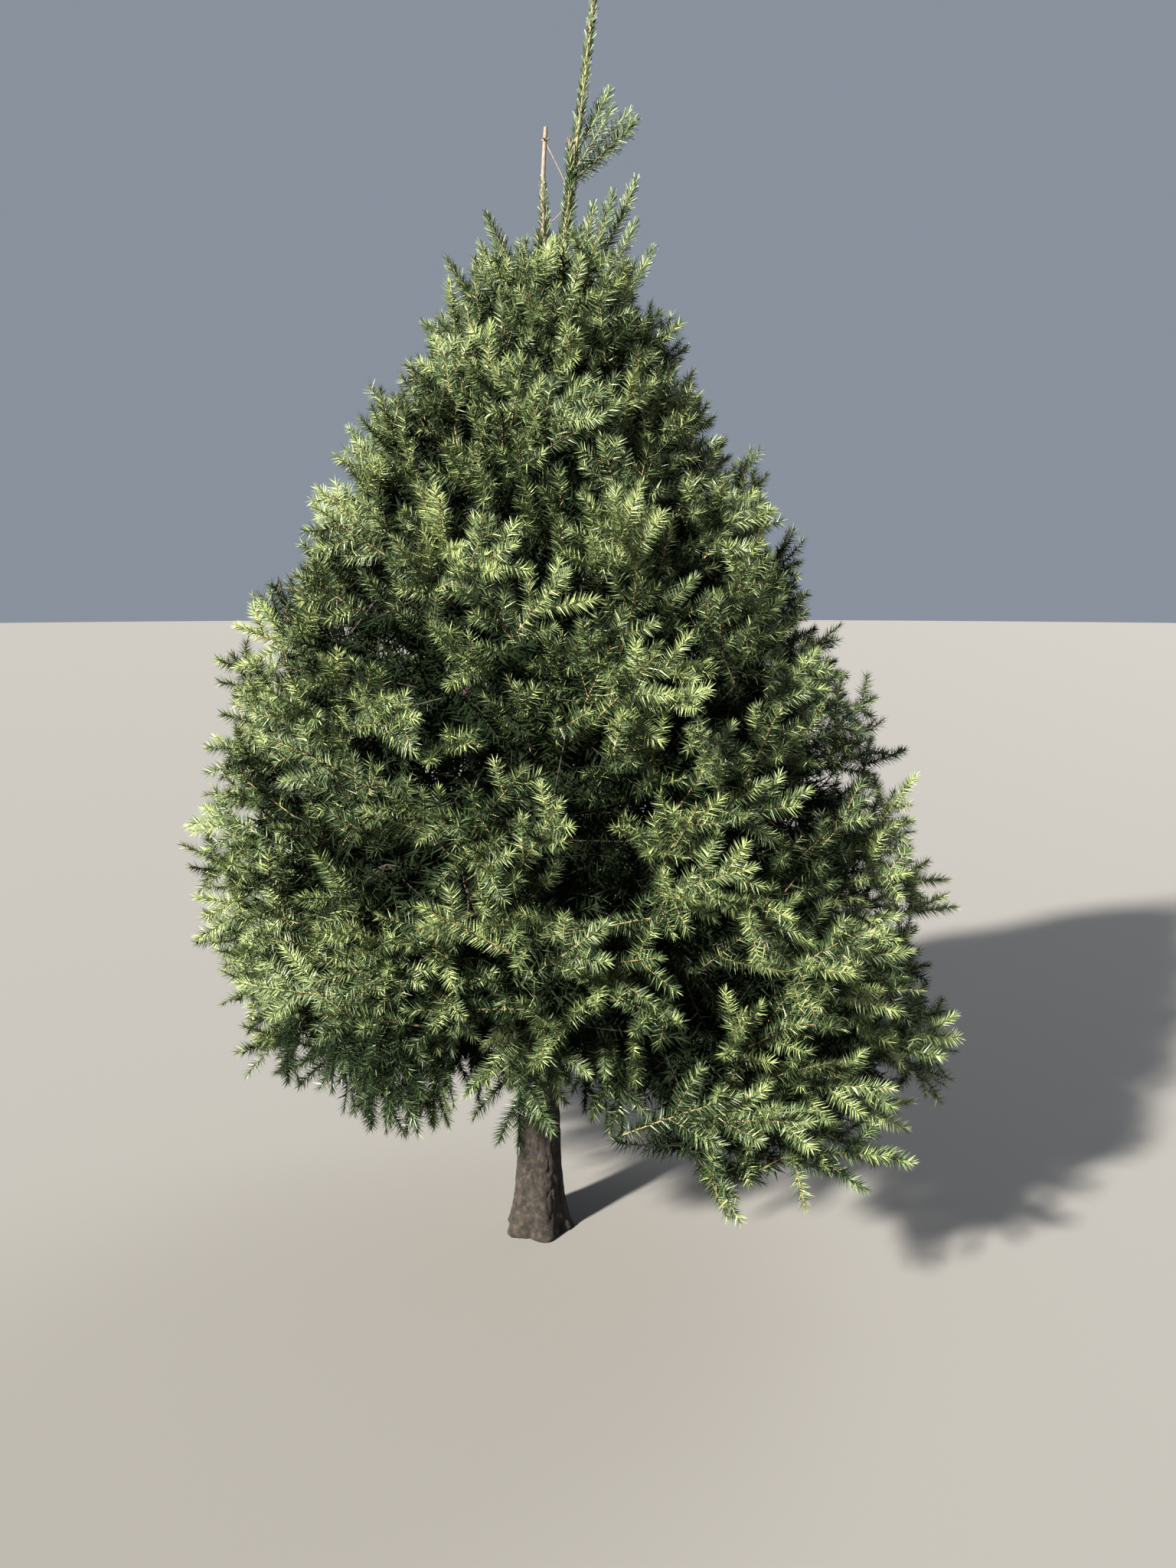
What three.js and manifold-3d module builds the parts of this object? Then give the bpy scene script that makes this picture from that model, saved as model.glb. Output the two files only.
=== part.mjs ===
// A dense, cone-shaped fir of the kind grown for Christmas, still rooted in the field, 2.82 m tall.
// Millimetres, +Z up. The origin is the middle of the flat cut under the trunk, at ground level.
// The photograph looks along +Y, with +X to its right.
//
// The trunk runs from the ground to the fork under its leaders. Boughs leave it in whorls, and each ends
// where it enters its mass of foliage. A mass keeps to its own space: one sector of one whorl. In it one
// stem branches into twigs, and each twig bears a frond: a toothed blade for its flat spray of needled
// shoots. The foliage is so thick that each mass has a smaller core, which its fronds stand out of.
import * as THREE from "three";
import { mergeVertices } from "three/addons/utils/BufferGeometryUtils.js";
import Module from "manifold-3d";

const wasm = await Module();
wasm.setup();

// The trunk
const FORK_HEIGHT = 2250;
const TRUNK_LEAN = 63; // how far the fork stands to +X of the foot
const TRUNK_SWEEP = 1.3; // over 1, the lean grows towards the fork
const FOOT_RADIUS = 54;
const FORK_RADIUS = 11;
const TRUNK_TAPER = 1.15;
const FLARE_REACH = 24; // how far the root flare stands out at the ground
const FLARE_HEIGHT = 75; // the flare falls to a third of its reach at this height
const FLARE_LOBES = 5;
const FLARE_WAVE = 0.4;
const TRUNK_SIDES = 15;
const TRUNK_STEPS = 14;
const TRUNK_CROWDING = 1.8; // over 1, the trunk's rings stand closer together near the ground
const LIMB_GAP = 0.3; // clear space between two pieces that meet

// The crown's outline: its radius at each height, for the fronds' tips
const CROWN_BOTTOM = 340;
const CROWN_PEAK = 2490; // where the outline would close, if no leader stood there
const CROWN_RADIUS = 850;
const CROWN_FULLEST = 0.84; // share of the way down from the peak to the bottom
const CROWN_LOPSIDED = 0.42; // low down it reaches further to the right, and high up to the left
const CROWN_EVEN = 0.6; // share of the way down where it reaches as far on both sides

// The whorls from the ground up. floor is the height, at the trunk, of the cone under the whorl's space and
// rise is that cone's slope. Round the tree the cone waves up and down in lobes. seam is how far round from
// the photograph's side a seam between two masses stands, against a mass's width. climb is the angle at
// which the fronds rise, and fronds is the number in each mass. bough is the radius of a bough at the
// trunk. A whorl with no boughs has masses whose stems start on the trunk, with a radius of stem.
const WHORLS = {
  skirt: { masses: 5, fronds: 8, floor: 470, rise: -0.15, lobes: 3, seam: 0, climb: 0.1, bough: 15 },
  lower: { masses: 6, fronds: 8, floor: 765, rise: -0.1, lobes: 5, seam: 0.4, climb: 0.4, bough: 14 },
  middle: { masses: 6, fronds: 7, floor: 1100, rise: -0.05, lobes: 4, seam: 0.6, climb: 0.6, bough: 12 },
  upper: { masses: 5, fronds: 7, floor: 1260, rise: 0.35, lobes: 5, seam: 0.35, climb: 0.75, bough: 10 },
  shoulder: { masses: 4, fronds: 6, floor: 1510, rise: 0.62, lobes: 3, seam: 0.6, climb: 0.9, stem: 8 },
  top: { masses: 3, fronds: 6, floor: 1790, rise: 0.95, lobes: 4, seam: 0.45, climb: 1.1, stem: 7 },
};
const CROWN_CEILING = { floor: 2150, rise: 1.4, lobes: 3 };
const CONE_WAVE = 0.07; // how far a cone waves, against the distance from the trunk
const FRONT = -Math.PI / 2; // the azimuth that faces the photograph
const SKIRT_OPENING_MIDDLE = -1.92; // the azimuth where the photograph looks in under the crown
const SKIRT_OPENING = 1.5; // how wide that opening is, in radians
const SPACE_GAP = 3; // clear space kept along a mass's sides, floor and ceiling
const OUTLINE_TRIES = 12; // rounds in which the outline is met, each of which halves the error
const BOUGH_SHARE = 0.3; // share of the crown's radius that a bough covers
const BOUGH_ROOT_LIFT = 0.42; // how far up its whorl a bough leaves the trunk, and where it ends
const BOUGH_TIP_LIFT = 0.47;
const BOUGH_END_SHARE = 0.62; // a bough's radius at its tip, against its root
const BOUGH_SAG = 0.08; // how far a bough's middle lies under its chord, against its length
const BOUGH_SIDES = 6;
const BOUGH_STEPS = 2;

// The foliage
const CORE_INNER = 0.36; // the core's inner and outer end, as shares of the crown's radius there
const CORE_OUTER = 0.79;
const CORE_WIDTH = 0.97; // its share of its sector, sideways
const CORE_HEIGHT = 0.97; // its share of its whorl, upwards
const CORE_INNER_HEIGHT = 0.85; // its height at its inner end, against its outer end
const CORE_ROUNDING = 0.14; // share of its length by which its outer edges are drawn in
const CORE_LUMPS = 0.28;
const STEM_REACH = 0.7; // a stem's share of the crown's radius
const STEM_BEND = 0.4; // share of its length that it keeps to the way that it starts in
const TWIG_RADIUS = 4.5;
const TWIG_END_RADIUS = 2.5;
const FROND_LENGTH = 330;
const FROND_FAN = 0.75; // how far fronds turn aside from straight outwards
const FAN_SPREAD = 0.4; // how much that differs, up or down, against itself
const CLIMB_RANGE = [-0.25, 0.5]; // what is added to a whorl's climb
const LENGTH_RANGE = [0.88, 1.12];
const REACH_RANGE = [0.92, 1.02]; // where fronds end, against the crown's outline
const TWIG_RANGE = [0.5, 0.9]; // where twigs leave a stem, as shares of its length
const TURN_SPREAD = 0.84; // the part of a space's width over which fronds' tips are spread
const TURN_SLIP = 0.05;
const LOWEST_LIFT = 0.14; // the lowest tips' share of the way up a space
const LIFT_SPREAD = 0.78;
const GOLDEN_SHARE = 0.618; // each tip is this share of the range over the last one
const FACING_RISE = 0.6; // how far a frond's face is turned up
const FACING_TILT = 0.5; // how far it is tilted at random
const FROND_SHORTENING = 0.42; // how much shorter the fronds are at the crown's peak
const SMALLEST_FROND = 0.4; // the least share of its size to which a frond is shortened to fit
const FINEST_EDGE = 0.2; // shorter edges, left where pieces are fused, are closed up

// A frond's sizes, against its length
const FROND_HALF_WIDTH = 0.34;
const FROND_THICKNESS = 0.03;
const FROND_MIDDLE = 0.45; // where it is thickest
const STALK_END = 0.2;
const STALK_RADIUS = 0.012;
const TOOTH_PAIRS = 3; // behind the tooth at its tip
const FIRST_PAIR = 0.36;
const LAST_PAIR = 0.82;
const PAIR_NARROWING = 0.6; // how much narrower the last pair is
const NOTCH_WIDTH = 0.1;

// The leaders over the fork. Each shoot starts at a share of the way along its leader and leans to the
// right from upright by its angle.
const LEADER_TOP = new THREE.Vector3(140, 0, 2822);
const LEADER_BOW = new THREE.Vector3(4, 0, 0); // how far the leader's middle stands off its chord
const LEADER_RADIUS = 10;
const LEADER_END_RADIUS = 2;
const LEADER_STEPS = 5;
const LEADER_SINK = 4; // how far under the fork the leader starts, before it is cut clear of the trunk
const LEADER_FRONDS = 5;
const FIRST_LEADER_FROND = 0.06; // where the first and the last one start, as shares of the leader
const LEADER_FROND_SPREAD = 0.68;
const LEADER_FROND_LENGTH = 145;
const LEADER_FROND_WIDTH = 0.6; // against a frond's usual width
const LEADER_SHOOTS = [
  { along: 0.3, angle: 1.0, length: 172, leafy: true },
  { along: 0.38, angle: 0.5, length: 145, leafy: true },
  { along: 0.34, angle: 0.74, length: 165, leafy: true },
  { along: 0.33, angle: -0.55, length: 85, leafy: false },
];
const SHOOT_SWAY = 0.25; // how far shoots lean to and from the photograph's side
const SHOOT_FROND_SHARE = 0.9; // a frond's share of its shoot's length
const FROND_STEP_TURN = 1.9; // the turn from each frond of a leader to the next, in radians
const SIDE_LEADER_TOP = new THREE.Vector3(31, 12, 2524);
const SIDE_LEADER_ELBOW = new THREE.Vector3(14, 8, 2255);
const SIDE_LEADER_ROOT_HEIGHT = 2198;
const SIDE_LEADER_RADIUS = 7.5;
const SIDE_LEADER_FRONDS = [0.3, 0.5]; // where its fronds start
const SIDE_LEADER_FROND_LENGTH = 120;

const NEEDLES = new THREE.MeshStandardMaterial({ color: 0x3f5a2c, roughness: 0.62, metalness: 0 });
const BARK = new THREE.MeshStandardMaterial({ color: 0x4a4038, roughness: 0.92, metalness: 0 });

const UP = new THREE.Vector3(0, 0, 1);
const TOWARDS_PHOTOGRAPH = new THREE.Vector3(0, -1, 0);

// The same numbers on every run, from 0 up to 1
function randomStream(seed) {
  let state = (seed * 7919 + 12345) % 2147483647;
  return () => {
    state = (state * 48271) % 2147483647;
    return state / 2147483647;
  };
}

function between(random, low, high) {
  return low + (high - low) * random();
}

function solidOf(geometry) {
  geometry.deleteAttribute("normal");
  geometry.deleteAttribute("uv");
  const merged = mergeVertices(geometry, 1e-3);
  return new wasm.Manifold(
    new wasm.Mesh({
      numProp: 3,
      vertProperties: merged.attributes.position.array,
      triVerts: new Uint32Array(merged.index.array),
    }),
  );
}

function solidFrom(points, faces) {
  const flat = new Float32Array(points.flatMap((point) => point.toArray()));
  return solidOf(
    new THREE.BufferGeometry().setAttribute("position", new THREE.BufferAttribute(flat, 3)).setIndex(faces),
  );
}

function geometryOf(solid) {
  const mesh = solid.getMesh();
  return new THREE.BufferGeometry()
    .setAttribute("position", new THREE.BufferAttribute(mesh.vertProperties, 3))
    .setIndex(new THREE.BufferAttribute(mesh.triVerts, 1));
}

// Fusing and cutting can leave a scrap beside the main body, which is all that is kept.
function mainBody(solid) {
  const body = solid.decompose().reduce((a, b) => (b.volume() > a.volume() ? b : a));
  return body.simplify(FINEST_EDGE);
}

function fuse(solids) {
  return mainBody(wasm.Manifold.union(solids));
}

// A round limb along a curve, tapering from its root to its tip
function limb(curve, rootRadius, tipRadius, sides, steps) {
  const tube = new THREE.CylinderGeometry(1, 1, 1, sides, steps);
  const frames = curve.computeFrenetFrames(steps, false);
  const points = tube.attributes.position;
  const spot = new THREE.Vector3();
  for (let i = 0; i < points.count; i++) {
    const ring = Math.round((points.getY(i) + 0.5) * steps);
    const across = Math.hypot(points.getX(i), points.getZ(i));
    const angle = Math.atan2(points.getZ(i), points.getX(i));
    const radius = across < 0.5 ? 0 : rootRadius + ((tipRadius - rootRadius) * ring) / steps;
    curve
      .getPoint(ring / steps, spot)
      .addScaledVector(frames.normals[ring], radius * Math.cos(angle))
      .addScaledVector(frames.binormals[ring], -radius * Math.sin(angle));
    points.setXYZ(i, spot.x, spot.y, spot.z);
  }
  return solidOf(tube);
}

function trunkMiddle(height) {
  return new THREE.Vector3(TRUNK_LEAN * (height / FORK_HEIGHT) ** TRUNK_SWEEP, 0, height);
}

function trunkRadius(height) {
  const left = Math.max(1 - height / FORK_HEIGHT, 0);
  return FORK_RADIUS + (FOOT_RADIUS - FORK_RADIUS) * left ** TRUNK_TAPER;
}

// The root flare is lobed, as roots run into it, and it dies away up the trunk.
function flare(height, angle) {
  const lobes = 1 + FLARE_WAVE * Math.cos(FLARE_LOBES * angle);
  return FLARE_REACH * Math.exp(-height / FLARE_HEIGHT) * lobes;
}

// The trunk, grown by extra all round and at its top. Its rings lie level, so that the cut at the ground
// is flat, and they stand closer near the flare.
function trunk(extra) {
  const tube = new THREE.CylinderGeometry(1, 1, 1, TRUNK_SIDES, TRUNK_STEPS);
  tube.rotateX(Math.PI / 2);
  const points = tube.attributes.position;
  for (let i = 0; i < points.count; i++) {
    const height = (FORK_HEIGHT + extra) * (points.getZ(i) + 0.5) ** TRUNK_CROWDING;
    const across = Math.hypot(points.getX(i), points.getY(i));
    const angle = Math.atan2(points.getY(i), points.getX(i));
    const radius = across < 0.5 ? 0 : trunkRadius(height) + flare(height, angle) + extra;
    const middle = trunkMiddle(height);
    points.setXYZ(i, middle.x + radius * Math.cos(angle), middle.y + radius * Math.sin(angle), height);
  }
  return solidOf(tube);
}

// The crown's radius, where its fronds end, at a height and an azimuth
function crownReach(height, azimuth) {
  const down = Math.max((CROWN_PEAK - height) / (CROWN_PEAK - CROWN_BOTTOM), 0.02);
  const share = Math.sin(((Math.PI / 2) * down) / CROWN_FULLEST);
  return CROWN_RADIUS * share * (1 + CROWN_LOPSIDED * Math.cos(azimuth) * (down - CROWN_EVEN));
}

function coneHeight(cone, radius, azimuth) {
  return cone.floor + radius * (cone.rise + CONE_WAVE * Math.sin(cone.lobes * azimuth + cone.floor));
}

// The space of one mass: a sector of a whorl between two cones, round the leaning trunk. In it a turn runs
// from -1 to 1 across the sector and a lift from 0 to 1 up the whorl.
function spaceOf(whorl, ceiling, azimuth, halfAngle) {
  const place = (radius, turn, lift) => {
    const around = azimuth + turn * halfAngle;
    const low = coneHeight(whorl, radius, around);
    const height = low + (coneHeight(ceiling, radius, around) - low) * lift;
    return trunkMiddle(Math.min(height, FORK_HEIGHT))
      .setZ(height)
      .add(new THREE.Vector3(radius * Math.cos(around), radius * Math.sin(around), 0));
  };
  // The radius where the crown's outline crosses a turn and a lift
  const reachAt = (turn, lift) => {
    let radius = CROWN_RADIUS / 2;
    for (let i = 0; i < OUTLINE_TRIES; i++) {
      const reach = crownReach(place(radius, turn, lift).z, azimuth + turn * halfAngle);
      radius = (radius + reach) / 2;
    }
    return radius;
  };
  const holds = (point) => {
    const fromTrunk = point.clone().sub(trunkMiddle(Math.min(point.z, FORK_HEIGHT))).setZ(0);
    const radius = fromTrunk.length();
    const around = Math.atan2(fromTrunk.y, fromTrunk.x);
    const away = Math.abs(fromTrunk.angleTo(new THREE.Vector3(Math.cos(azimuth), Math.sin(azimuth), 0)));
    return (
      away < halfAngle &&
      radius * Math.sin(halfAngle - away) > SPACE_GAP &&
      point.z > coneHeight(whorl, radius, around) + SPACE_GAP * 1.5 &&
      point.z < coneHeight(ceiling, radius, around) - SPACE_GAP * 1.5 &&
      radius > trunkRadius(point.z) + SPACE_GAP
    );
  };
  return { place, reachAt, holds };
}

// The outline of half a frond from its stalk to just short of its tip, as shares of its length: along it
// and aside. Each tooth is one needled shoot.
const FROND_EDGE = [[STALK_END, STALK_RADIUS]];
for (let i = 0; i < TOOTH_PAIRS; i++) {
  const step = (LAST_PAIR - FIRST_PAIR) / (TOOTH_PAIRS - 1);
  const narrowing = PAIR_NARROWING * (i / (TOOTH_PAIRS - 1)) ** 1.3;
  if (i > 0) FROND_EDGE.push([FIRST_PAIR + step * (i - 0.5), NOTCH_WIDTH]);
  FROND_EDGE.push([FIRST_PAIR + step * i, FROND_HALF_WIDTH * (1 - narrowing)]);
}

// A frond's corners: round its outline, then above and under its thickest place, then above and under its
// stalk. way is its unit direction and facing the direction that its blade faces. width is its share of
// the usual width.
function frondCorners(tip, way, facing, length, width) {
  const side = new THREE.Vector3().crossVectors(facing, way).normalize();
  const face = new THREE.Vector3().crossVectors(way, side);
  const at = (along, aside, off) =>
    tip
      .clone()
      .addScaledVector(way, (along - 1) * length)
      .addScaledVector(side, aside * width * length)
      .addScaledVector(face, off * length);
  const one = FROND_EDGE.map(([along, aside]) => at(along, aside, 0));
  const other = FROND_EDGE.map(([along, aside]) => at(along, -aside, 0)).reverse();
  const blade = [1, -1].map((sign) => at(FROND_MIDDLE, 0, (sign * FROND_THICKNESS) / 2));
  const stalk = [1, -1].map((sign) => at(STALK_END, 0, sign * STALK_RADIUS));
  return [...one, at(1, 0, 0), ...other, ...blade, ...stalk];
}

// A frond and its twig in one. The twig is square and runs from twigRoot to the frond's stalk.
function frondOnTwig(twigRoot, corners) {
  const last = corners.length - 5;
  const [bladeTop, bladeUnder, stalkTop, stalkUnder] = [1, 2, 3, 4].map((step) => last + step);
  const across = corners[0].clone().sub(corners[last]);
  const way = corners[0].clone().add(corners[last]).multiplyScalar(0.5).sub(twigRoot).normalize();
  const side = across.addScaledVector(way, -way.dot(across)).setLength(TWIG_RADIUS);
  const face = new THREE.Vector3().crossVectors(way, side);
  const root = [face, side, face.clone().negate(), side.clone().negate()];
  const points = [...corners, ...root.map((offset) => offset.add(twigRoot))];
  const faces = [];
  for (let i = 0; i < last; i++) {
    faces.push(i + 1, i, bladeTop, i, i + 1, bladeUnder);
  }
  faces.push(0, stalkTop, bladeTop, stalkTop, last, bladeTop);
  faces.push(stalkUnder, 0, bladeUnder, last, stalkUnder, bladeUnder);
  const stalk = [stalkTop, 0, stalkUnder, last];
  const first = corners.length;
  for (let i = 0; i < 4; i++) {
    const next = (i + 1) % 4;
    faces.push(stalk[i], stalk[next], first + next, stalk[i], first + next, first + i);
  }
  faces.push(first, first + 1, first + 2, first, first + 2, first + 3);
  return solidFrom(points, faces);
}

// A frond that would leave its mass's space is shortened, with its tip kept where it is, and is left out
// where it would be too small.
function fittedCorners(space, tip, way, facing, length) {
  for (let size = length; size > SMALLEST_FROND * length; size *= 0.9) {
    const corners = frondCorners(tip, way, facing, size, 1);
    if (corners.every(space.holds)) return corners;
  }
  return null;
}

// The core is a block that fills the middle of its space, with a lumpy, rounded outer end.
function core(space, random) {
  const block = new THREE.BoxGeometry(2, 2, 2, 2, 3, 2);
  block.deleteAttribute("normal");
  block.deleteAttribute("uv");
  const merged = mergeVertices(block, 1e-3);
  const points = merged.attributes.position;
  for (let i = 0; i < points.count; i++) {
    const [x, y, z] = [points.getX(i), points.getY(i), points.getZ(i)];
    const edges = [y, z].filter((side) => Math.abs(side) > 0.99).length;
    const drawnIn = x > 0.99 ? CORE_ROUNDING * edges + CORE_LUMPS * random() : 0;
    const out = (x + 1) / 2 - drawnIn;
    const height = CORE_HEIGHT * (CORE_INNER_HEIGHT + (1 - CORE_INNER_HEIGHT) * out);
    const turn = CORE_WIDTH * y;
    const lift = 0.5 + (height * z) / 2;
    const radius = space.reachAt(turn, lift) * (CORE_INNER + (CORE_OUTER - CORE_INNER) * out);
    const spot = space.place(radius, turn, lift);
    points.setXYZ(i, spot.x, spot.y, spot.z);
  }
  return solidOf(merged);
}

// A frond faces up and out of the crown, tilted a different way each time.
function frondFacing(outwards, random) {
  const tilt = new THREE.Vector3(between(random, -1, 1), between(random, -1, 1), between(random, -1, 1));
  return outwards.clone().addScaledVector(UP, FACING_RISE).addScaledVector(tilt, FACING_TILT).normalize();
}

// The fronds' tips are spread evenly over the outer side of the mass's space.
function tipPlaces(count, random) {
  const start = random();
  return Array.from({ length: count }, (_, i) => ({
    turn: TURN_SPREAD * (((i + 0.5) / count) * 2 - 1) + between(random, -TURN_SLIP, TURN_SLIP),
    lift: LOWEST_LIFT + LIFT_SPREAD * ((i * GOLDEN_SHARE + start) % 1),
    hand: (i % 3) - 1,
  }));
}

// One mass of foliage on a stem that starts at root and goes on the way that its bough went
function foliage(space, whorl, root, towards, stemRadius, random) {
  const outer = space.place(space.reachAt(0, 0.5) * STEM_REACH, 0, 0.5);
  const bend = root.clone().addScaledVector(towards, root.distanceTo(outer) * STEM_BEND);
  const stem = new THREE.QuadraticBezierCurve3(root, bend, outer);
  const solids = [limb(stem, stemRadius, TWIG_END_RADIUS, BOUGH_SIDES, BOUGH_STEPS), core(space, random)];
  for (const { turn, lift, hand } of tipPlaces(whorl.fronds, random)) {
    const radius = space.reachAt(turn, lift) * between(random, ...REACH_RANGE);
    const tip = space.place(radius, turn, lift);
    const outwards = space.place(radius + 1, turn, lift).sub(tip).setZ(0).normalize();
    const climb = whorl.climb + between(random, ...CLIMB_RANGE);
    const way = outwards
      .clone()
      .applyAxisAngle(UP, FROND_FAN * (hand + between(random, -FAN_SPREAD, FAN_SPREAD)))
      .multiplyScalar(Math.cos(climb))
      .addScaledVector(UP, Math.sin(climb));
    const shortening = 1 - (FROND_SHORTENING * tip.z) / CROWN_PEAK;
    const length = FROND_LENGTH * shortening * between(random, ...LENGTH_RANGE);
    const corners = fittedCorners(space, tip, way, frondFacing(outwards, random), length);
    if (corners) solids.push(frondOnTwig(stem.getPoint(between(random, ...TWIG_RANGE)), corners));
  }
  return fuse(solids);
}

// A bough leaves the trunk upwards and levels out to its tip, where the mass's stem goes on.
function boughCurve(space, reach) {
  const root = space.place(0, 0, BOUGH_ROOT_LIFT);
  const tip = space.place(reach * BOUGH_SHARE, 0, BOUGH_TIP_LIFT);
  const sag = root.distanceTo(tip) * BOUGH_SAG;
  const middle = root.clone().add(tip).multiplyScalar(0.5);
  return new THREE.QuadraticBezierCurve3(root, middle.setZ(middle.z - sag), tip);
}

function named(name, solid, material) {
  const mesh = new THREE.Mesh(geometryOf(solid), material);
  mesh.name = name;
  return mesh;
}

// On a leader the needles stand close round the stem, so its fronds are narrow and turned round it.
function leaderFrond(stem, along, length, i) {
  const way = stem.getTangent(along);
  const tip = stem.getPoint(along).addScaledVector(way, length);
  const facing = new THREE.Vector3(Math.cos(i * FROND_STEP_TURN), Math.sin(i * FROND_STEP_TURN), 0);
  return frondOnTwig(stem.getPoint(along - 0.03), frondCorners(tip, way, facing, length, LEADER_FROND_WIDTH));
}

// The leader grows on from the fork, with three leafy shoots and a bare twig at its side.
function leader(random, clear) {
  const root = trunkMiddle(FORK_HEIGHT - LEADER_SINK);
  const middle = root.clone().add(LEADER_TOP).multiplyScalar(0.5).add(LEADER_BOW);
  const stem = new THREE.QuadraticBezierCurve3(root, middle, LEADER_TOP);
  const solids = [limb(stem, LEADER_RADIUS, LEADER_END_RADIUS, BOUGH_SIDES, LEADER_STEPS)];
  for (let i = 0; i < LEADER_FRONDS; i++) {
    const along = FIRST_LEADER_FROND + LEADER_FROND_SPREAD * (i / (LEADER_FRONDS - 1));
    solids.push(leaderFrond(stem, along, LEADER_FROND_LENGTH, i));
  }
  for (const { along, angle, length, leafy } of LEADER_SHOOTS) {
    const sway = between(random, -SHOOT_SWAY, SHOOT_SWAY);
    const way = new THREE.Vector3(Math.sin(angle), sway, Math.cos(angle)).normalize();
    const foot = stem.getPoint(along);
    const tip = foot.clone().addScaledVector(way, length);
    if (leafy) {
      const size = length * SHOOT_FROND_SHARE;
      const corners = frondCorners(tip, way, TOWARDS_PHOTOGRAPH, size, LEADER_FROND_WIDTH);
      solids.push(frondOnTwig(foot, corners));
    } else {
      solids.push(limb(new THREE.LineCurve3(foot, tip), TWIG_END_RADIUS, TWIG_END_RADIUS, 3, 1));
    }
  }
  return mainBody(fuse(solids).subtract(clear));
}

// The second leader died back: its lower half carries needles and its top is a bare stub.
function sideLeader(clear) {
  const root = trunkMiddle(SIDE_LEADER_ROOT_HEIGHT);
  const stem = new THREE.QuadraticBezierCurve3(root, SIDE_LEADER_ELBOW, SIDE_LEADER_TOP);
  const solids = [limb(stem, SIDE_LEADER_RADIUS, TWIG_END_RADIUS, BOUGH_SIDES, LEADER_STEPS)];
  SIDE_LEADER_FRONDS.forEach((along, i) => {
    solids.push(leaderFrond(stem, along, SIDE_LEADER_FROND_LENGTH, i));
  });
  return mainBody(fuse(solids).subtract(clear));
}

const tree = new THREE.Group();
const trunkClear = trunk(LIMB_GAP);
tree.add(named("trunk", trunk(0), BARK));

Object.entries(WHORLS).forEach(([name, whorl], level, all) => {
  const ceiling = level + 1 < all.length ? all[level + 1][1] : CROWN_CEILING;
  const opening = level === 0 ? SKIRT_OPENING : 0;
  const sector = (2 * Math.PI - opening) / whorl.masses;
  const start = opening ? SKIRT_OPENING_MIDDLE + opening / 2 : FRONT + sector * whorl.seam;
  for (let i = 0; i < whorl.masses; i++) {
    const random = randomStream(100 * (level + 1) + i);
    const space = spaceOf(whorl, ceiling, start + sector * (i + 0.5), sector / 2);
    const reach = space.reachAt(0, 0.5);
    const label = `${name}_${i + 1}`;
    if (whorl.bough) {
      const curve = boughCurve(space, reach);
      const endRadius = whorl.bough * BOUGH_END_SHARE;
      const bough = limb(curve, whorl.bough, endRadius, BOUGH_SIDES, BOUGH_STEPS);
      tree.add(named(`bough_${label}`, mainBody(bough.subtract(trunkClear)), BARK));
      const towards = curve.getTangent(1);
      const root = curve.getPoint(1).addScaledVector(towards, LIMB_GAP);
      const mass = foliage(space, whorl, root, towards, endRadius, random);
      tree.add(named(`foliage_${label}`, mass, NEEDLES));
    } else {
      const root = space.place(0, 0, BOUGH_ROOT_LIFT);
      const towards = space.place(reach, 0, BOUGH_ROOT_LIFT).sub(root).normalize();
      const mass = foliage(space, whorl, root, towards, whorl.stem, random);
      tree.add(named(`foliage_${label}`, mainBody(mass.subtract(trunkClear)), NEEDLES));
    }
  }
});

tree.add(named("leader", leader(randomStream(7), trunkClear), NEEDLES));
tree.add(named("side_leader", sideLeader(trunkClear), NEEDLES));

export default tree;
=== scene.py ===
import math
from dataclasses import dataclass

import bpy
import numpy as np
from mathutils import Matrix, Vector


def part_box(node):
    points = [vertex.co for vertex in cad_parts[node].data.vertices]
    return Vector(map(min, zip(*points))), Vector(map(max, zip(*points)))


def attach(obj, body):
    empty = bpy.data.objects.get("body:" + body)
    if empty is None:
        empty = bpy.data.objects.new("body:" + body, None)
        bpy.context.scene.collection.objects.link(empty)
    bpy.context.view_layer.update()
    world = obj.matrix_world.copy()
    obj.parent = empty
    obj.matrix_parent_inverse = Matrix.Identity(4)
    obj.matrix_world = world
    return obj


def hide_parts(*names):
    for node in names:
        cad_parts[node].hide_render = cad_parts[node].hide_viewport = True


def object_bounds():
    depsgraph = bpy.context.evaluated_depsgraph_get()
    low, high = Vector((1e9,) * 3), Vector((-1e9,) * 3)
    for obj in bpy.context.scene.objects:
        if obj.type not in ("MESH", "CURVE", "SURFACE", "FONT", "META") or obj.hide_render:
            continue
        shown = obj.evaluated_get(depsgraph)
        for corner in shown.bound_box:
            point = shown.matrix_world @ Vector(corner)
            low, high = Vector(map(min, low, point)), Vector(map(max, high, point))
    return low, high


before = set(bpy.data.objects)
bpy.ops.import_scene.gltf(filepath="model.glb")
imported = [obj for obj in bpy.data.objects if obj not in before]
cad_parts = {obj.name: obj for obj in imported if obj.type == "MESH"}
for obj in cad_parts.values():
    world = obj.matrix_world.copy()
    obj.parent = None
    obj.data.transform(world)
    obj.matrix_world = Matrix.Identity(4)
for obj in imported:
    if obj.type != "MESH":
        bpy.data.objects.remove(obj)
CAD_BOX = [list(corner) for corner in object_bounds()]
BODY = "root"

# The trunk, as in the solids
FORK_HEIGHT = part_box("trunk")[1].z
TRUNK_LEAN = 0.063  # how far the fork stands to +X of the foot
TRUNK_SWEEP = 1.3
FOOT_RADIUS = 0.054
FORK_RADIUS = 0.011
TRUNK_TAPER = 1.15
FLARE_REACH = 0.024
FLARE_HEIGHT = 0.075
FLARE_LOBES = 5
FLARE_WAVE = 0.4

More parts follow.
